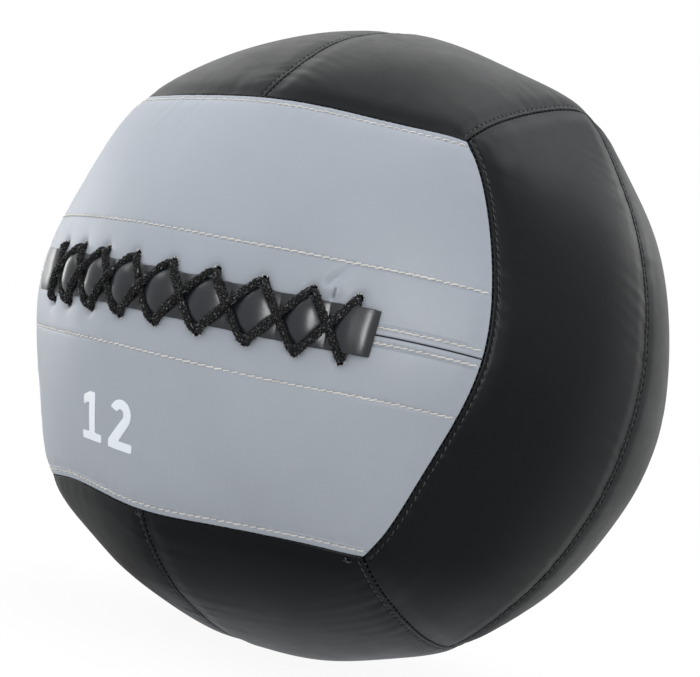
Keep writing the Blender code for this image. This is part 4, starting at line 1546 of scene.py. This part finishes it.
def makeThreadTails():
    random = np.random.default_rng(23)
    here, along = [], []
    for panel, arc, fromEnd in threadTails["places"]:
        for _ in range(threadTails["count"]):
            stray = threadTails["strayArc"]
            # Where it starts, a small step along the panel and one across it
            arcs = np.array([arc, arc, arc + 0.001]) + random.uniform(-stray, stray)
            angles = -angleAt(arcs, fromEnd + random.uniform(*threadTails["strayEnd"]))
            angles[1] += 0.006
            start, ahead, aside = panelPoints(panel, arcs, angles)
            turn = random.uniform(-threadTails["strayTurn"], threadTails["strayTurn"])
            here.append(start)
            along.append((ahead - start) * math.cos(turn) + (aside - start) * math.sin(turn))
    here, along = np.array(here), np.array(along)
    outward = unit(here - middle)
    sizes = {"Seed": 31, "Thickness": threadTails["thickness"],
             "Stitch Length": threadTails["length"], "Slant": 0.0, "Jitter": 0.5,
             "Unevenness": 0.4, "Sink": 0.0002, "Rise": 0.0006}
    places = here + outward * threadTails["above"]
    layStitches("thread_tails", places, along, outward, "black_thread", sizes)


makeThreadTails()


# The weight mark, printed on the lower grey panel

weightMark = {
    "height": 0.0240,
    "middleAround": -0.0240,
    "middleUp": -0.0683,
    "stroke": 0.215,                 # as a share of the height
    "cornerRadius": 0.045,
    "spacing": 0.24,
    "sliceWidth": 0.0012,            # it is cut this fine, so that it bends with the vinyl
    "lift": 0.00006,
    "thickness": 0.00012,
}


def digitOne():
    # Outlines are in shares of the height, from the lower left corner
    stroke = weightMark["stroke"]
    left, right, foot = 0.37 - stroke / 2, 0.37 + stroke / 2, stroke * 0.78
    return [(0, 0), (0.71, 0), (0.71, foot), (right, foot), (right, 1.0), (left + 0.02, 1.0),
            (0.06, 0.90), (0.06, 0.70), (left, 0.79), (left, foot), (0, foot)]


def digitTwo():
    half = weightMark["stroke"] / 2
    turns = np.radians(np.linspace(158, -38, 22))
    outer, inner = (
        [(0.36 + wide * x, 0.70 + tall * y) for x, y in zip(np.cos(turns), np.sin(turns))]
        for wide, tall in ((0.315, 0.300), (0.315 - 2 * half, 0.300 - 1.8 * half)))
    foot = 2 * half * 0.80
    base = [(0.34, foot), (0.74, foot), (0.74, 0)]
    return [(0, 0), (0, foot * 0.85)] + inner[::-1] + outer + base


def roundCorners(outline, radius):
    # Each sharp corner becomes a short arc
    made = []
    count = len(outline)
    for i, here in enumerate(np.array(outline, float)):
        before, after = (np.array(outline[(i + k) % count], float) for k in (-1, 1))
        a, b = before - here, after - here
        lengths = np.linalg.norm(a), np.linalg.norm(b)
        if a @ b / (lengths[0] * lengths[1]) < -0.85:  # nearly straight on
            made.append(here)
            continue
        cut = min(radius, *(0.45 * length for length in lengths))  # never past half a side
        start, end = here + a / lengths[0] * cut, here + b / lengths[1] * cut
        for share in np.linspace(0, 1, 5):
            made.append(start * (1 - share) ** 2 + 2 * here * share * (1 - share)
                        + end * share ** 2)
    return made


def makeWeightMark():
    one, two = digitOne(), digitTwo()
    tall = weightMark["height"]
    shiftTwo = max(x for x, _ in one) + weightMark["spacing"]
    wide = shiftTwo + max(x for x, _ in two)
    mesh = bpy.data.meshes.new("weight_mark_print")
    work = bmesh.new()
    for outline, shift in ((one, 0.0), (two, shiftTwo)):
        work.faces.new([work.verts.new(((x + shift - wide / 2) * tall, (y - 0.5) * tall, 0))
                        for x, y in roundCorners(outline, weightMark["cornerRadius"])])
    work.normal_update()
    bmesh.ops.triangulate(work, faces=work.faces, ngon_method="EAR_CLIP")
    fine = weightMark["sliceWidth"]
    for axis, reach in (((1, 0, 0), wide * tall / 2), ((0, 1, 0), tall / 2)):
        for cut in np.arange(-reach + fine * 2 / 3, reach, fine):
            bmesh.ops.bisect_plane(work, geom=work.verts[:] + work.edges[:] + work.faces[:],
                                   plane_co=Vector(axis) * float(cut), plane_no=axis)
    bmesh.ops.triangulate(work, faces=work.faces)
    for polygon in work.faces:
        if polygon.normal.z < 0:
            polygon.normal_flip()
    flat = np.array([tuple(vert.co) for vert in work.verts])
    around = weightMark["middleAround"] + flat[:, 0]
    up = weightMark["middleUp"] + flat[:, 1]
    for vert, place in zip(work.verts, frontPoints(around, up, weightMark["lift"])):
        vert.co = place
    work.normal_update()
    work.to_mesh(mesh)
    work.free()
    mesh.shade_smooth()
    return thicken(newObject("weight_mark_print", mesh), weightMark["thickness"], 1.0)


markPiece = makeWeightMark()
ink = printedInk("whitePrint", (0.84, 0.89, 0.95), (0.90, 0.94, 1.00))
paint(markPiece, ink)
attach(markPiece, "root")
print("weight mark made")


# What lies inside the ball

def nodeCopy(node, name):
    # A copy of a CAD solid, merged, as the start of a finer piece
    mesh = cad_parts[node].data.copy()
    mesh.name = name
    work = bmesh.new()
    work.from_mesh(mesh)
    bmesh.ops.remove_doubles(work, verts=work.verts, dist=1e-6)
    work.to_mesh(mesh)
    work.free()
    return newObject(name, mesh)


def divide(piece, levels):
    rounder = piece.modifiers.new("finer", "SUBSURF")
    rounder.subdivision_type = "SIMPLE"
    rounder.levels = levels
    rounder.render_levels = levels
    return applied(piece)


def readPoints(piece):
    places = np.empty(len(piece.data.vertices) * 3, dtype=np.float32)
    piece.data.vertices.foreach_get("co", places)
    return places.reshape(-1, 3).astype(float)


def writePoints(piece, places):
    piece.data.vertices.foreach_set("co", places.astype(np.float32).ravel())
    piece.data.update()


waveTop = 1.6                        # what the waves add up to


def drawIn(piece, amount, wave, power):
    # Moves points inwards by a share of an amount that waves over the surface
    places = readPoints(piece)
    normals = np.array([tuple(item.vector) for item in piece.data.vertex_normals])
    share = np.clip(0.5 + 0.5 * waveSum(places, wave) / waveTop, 0, 1) ** power
    writePoints(piece, places - normals * (amount * share)[:, None])


def drawToHoles(piece):
    # The facings' holes were punched wider apart than the cord has drawn them
    for vert in piece.data.vertices:
        up = vert.co.z - middle[2]
        near = bell(abs(up) - lacing["punchedRow"], lacing["punchedReach"])
        vert.co.z -= math.copysign((lacing["punchedRow"] - lacing["holeRow"]) * near, up)


# For each node: what its piece is, its slot, how finely it is divided, how far its surface
# waves in and how sharply, and the seed, number and least and greatest length of those waves
filling = {
    "stuffing_front": ("wad", "fibre", 3, 0.0028, 1.4, (31, 26, 0.010, 0.030)),
    "stuffing_rear": ("wad", "fibre", 3, 0.0028, 1.4, (32, 26, 0.010, 0.030)),
    "lining_bag": ("cloth", "lining_cloth", 2, 0.0002, 1.0, (41, 16, 0.012, 0.040)),
    "facing_upper": ("canvas", "facing_canvas", 2, 0.00015, 1.0, (45, 12, 0.006, 0.020)),
    "facing_lower": ("canvas", "facing_canvas", 2, 0.00015, 1.0, (45, 12, 0.006, 0.020)),
    "ballast_bag": ("canvas", "ballast_canvas", 3, 0.0002, 1.0, (51, 18, 0.010, 0.030)),
    "ballast": ("shot_fill", "ballast_shot", 4, 0.0010, 1.0, (61, 30, 0.0045, 0.0080)),
    "ballast_tie": ("cord", "tie_cord", 2, 0.0, 1.0, (71, 2, 0.010, 0.020)),  # not drawn in
}
innerPieces = {}
for node, (kind, slot, levels, amount, power, waveSizes) in filling.items():
    piece = divide(nodeCopy(node, node + "_" + kind), levels)
    drawIn(piece, amount, waves(*waveSizes), power)
    if node.startswith("facing"):
        drawToHoles(piece)
    writePoints(piece, settle(readPoints(piece)))
    piece.data.shade_smooth()
    paint(piece, materials[slot])
    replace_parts(piece, node)
    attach(piece, "root")
    innerPieces[node] = piece

restsOn = {
    "lining_bag": ["stuffing_front_wad", "stuffing_rear_wad"],
    "ballast_bag": ["ballast_shot_fill"],
    "facing_upper": ["lining_bag_cloth"],
    "facing_lower": ["lining_bag_cloth"],
}
for node, rests in restsOn.items():
    piece = innerPieces[node]
print("filling made")


# Camera, light and surroundings

camera = {
    "focal": 1550 / 700 * 36,        # millimetres, for a film 36 mm wide
    "right": (0.81204, 0.53004, 0.24424),
    "down": (0.18030, 0.17018, -0.96878),
    "forward": (-0.55505, 0.83072, 0.04262),
    "fromMiddle": (0.4834, -0.7286, -0.0339),
}


def addCamera():
    data = bpy.data.cameras.new("photoCamera")
    data.sensor_fit = "HORIZONTAL"
    data.sensor_width = 36.0
    data.lens = camera["focal"]
    data.clip_start = 0.01
    piece = newObject("photoCamera", data)
    matrix = np.eye(4)
    matrix[:3, 0] = camera["right"]
    matrix[:3, 1] = -np.array(camera["down"])
    matrix[:3, 2] = -np.array(camera["forward"])
    matrix[:3, 3] = middle + np.array(camera["fromMiddle"])
    piece.matrix_world = Matrix(matrix.tolist())
    scene.camera = piece


room = {
    "colour": (0.95, 0.97, 1.0),
    "strength": 0.87,                # seen directly or in a reflection, it is plain white
}


def addWorld():
    world = bpy.data.worlds.new("studio")
    scene.world = world
    world.use_nodes = True
    tree = world.node_tree
    tree.nodes.clear()
    light = addNode(tree, "ShaderNodeBackground",
                    {"Color": (*room["colour"], 1.0), "Strength": room["strength"]})
    white = addNode(tree, "ShaderNodeBackground", {"Color": (1.0, 1.0, 1.0, 1.0), "Strength": 1.0})
    rays = addNode(tree, "ShaderNodeLightPath").outputs
    seen = mathNode(tree, "MAXIMUM", rays["Is Camera Ray"], rays["Is Glossy Ray"])
    seen = mathNode(tree, "MAXIMUM", seen, rays["Is Transmission Ray"])
    mix = addNode(tree, "ShaderNodeMixShader", {0: seen, 1: light.outputs[0], 2: white.outputs[0]})
    addNode(tree, "ShaderNodeOutputWorld", {"Surface": mix.outputs[0]})


studioFloor = {
    "radius": 6.0,
    "below": 0.0002,
    "colour": (0.80, 0.79, 0.77),
    "seen": 1.035,                   # strength and share of the white that the camera sees
    "seenShare": 0.90,
    # A pale patch under the ball that glows in reflections only, a painted reflection
    "patchMiddle": (0.045, 0.005, 0.0),
    "patchFade": (0.070, 0.140),     # from its middle: where it starts to fade, and its end
    "reflectedGlowColour": (0.93, 0.96, 1.0),
}


def addFloor():
    work = bmesh.new()
    bmesh.ops.create_circle(work, cap_ends=True, segments=96, radius=studioFloor["radius"])
    mesh = bpy.data.meshes.new("studio_floor")
    work.to_mesh(mesh)
    work.free()
    floor = newObject("studio_floor", mesh)
    floor.location = (0, 0, -studioFloor["below"])
    material, tree, shader, place = newMaterial("floorWhite")
    setInputs(tree, shader, {"Base Color": (*studioFloor["colour"], 1.0), "Roughness": 0.9,
                             "Specular IOR Level": 0.0})
    # The camera sees it nearly white. Reflections see its real shade, but for a pale glowing patch
    # close under the ball: a painted reflection in the ball's lower side
    rays = addNode(tree, "ShaderNodeLightPath").outputs
    away = addNode(tree, "ShaderNodeVectorMath", {0: place, 1: studioFloor["patchMiddle"]},
                   operation="DISTANCE")
    patch = rangeNode(tree, away.outputs["Value"], 1.0, 0.0, *studioFloor["patchFade"])
    mirrored = mathNode(tree, "MAXIMUM", rays["Is Glossy Ray"], rays["Is Transmission Ray"])
    inReflectedGlow = mathNode(tree, "MULTIPLY", mirrored, patch)
    inView = mathNode(tree, "MULTIPLY", rays["Is Camera Ray"], studioFloor["seenShare"])
    surface = shader.outputs[0]
    for colour, strength, share in ((studioFloor["reflectedGlowColour"], 1.0, inReflectedGlow),
                                    ((1.0, 1.0, 1.0), studioFloor["seen"], inView)):
        glow = addNode(tree, "ShaderNodeEmission", {"Color": (*colour, 1.0), "Strength": strength})
        mix = addNode(tree, "ShaderNodeMixShader", {0: share, 1: surface, 2: glow.outputs[0]})
        surface = mix.outputs[0]
    setInputs(tree, tree.nodes["Material Output"], {"Surface": surface})
    floor.data.materials.append(material)


# Place, width, height and power. A lamp whose name ends in Gloss shows only in reflections
lamps = {
    "keyLamp": ((-1.3, -1.3, 1.7), 1.3, 1.3, 9.9),
    "overLamp": ((0, 0, 2.4), 1.5, 1.5, 7.4),
    "topLamp": ((-0.6, 1.0, 1.9), 1.4, 1.4, 5.2),
    "leftBackGloss": ((-1.6, 0.6, 1.5), 1.2, 1.2, 3.8),
    "rightBackGloss": ((0.95, 0.90, 2.25), 1.0, 1.0, 11.5),
    "backGloss": ((0.50, 2.05, 1.35), 0.8, 0.8, 4.0),
    "leftGloss": ((-2.18, 0.12, 0.35), 0.45, 1.2, 13.0),
    "rightGloss": ((1.30, -1.25, 0.45), 0.55, 1.3, 34.0),
}
lampColours = {"rightBackGloss": (0.90, 0.96, 1.0)}


def addLamp(name, place, wide, tall, power):
    data = bpy.data.lights.new(name, "AREA")
    data.shape = "DISK" if wide == tall else "RECTANGLE"
    data.size = wide
    data.size_y = tall
    data.energy = power
    data.color = lampColours.get(name, (1.0, 1.0, 1.0))
    lamp = newObject(name, data)
    lamp.location = place
    aim = Vector(ball["middle"]) - Vector(place)
    lamp.rotation_euler = aim.to_track_quat("-Z", "Y").to_euler()
    lamp.visible_diffuse = not name.endswith("Gloss")


addCamera()
addWorld()
addFloor()
for lampName, settings in lamps.items():
    addLamp(lampName, *settings)
scene.view_settings.view_transform = "Standard"
print("camera and light set")
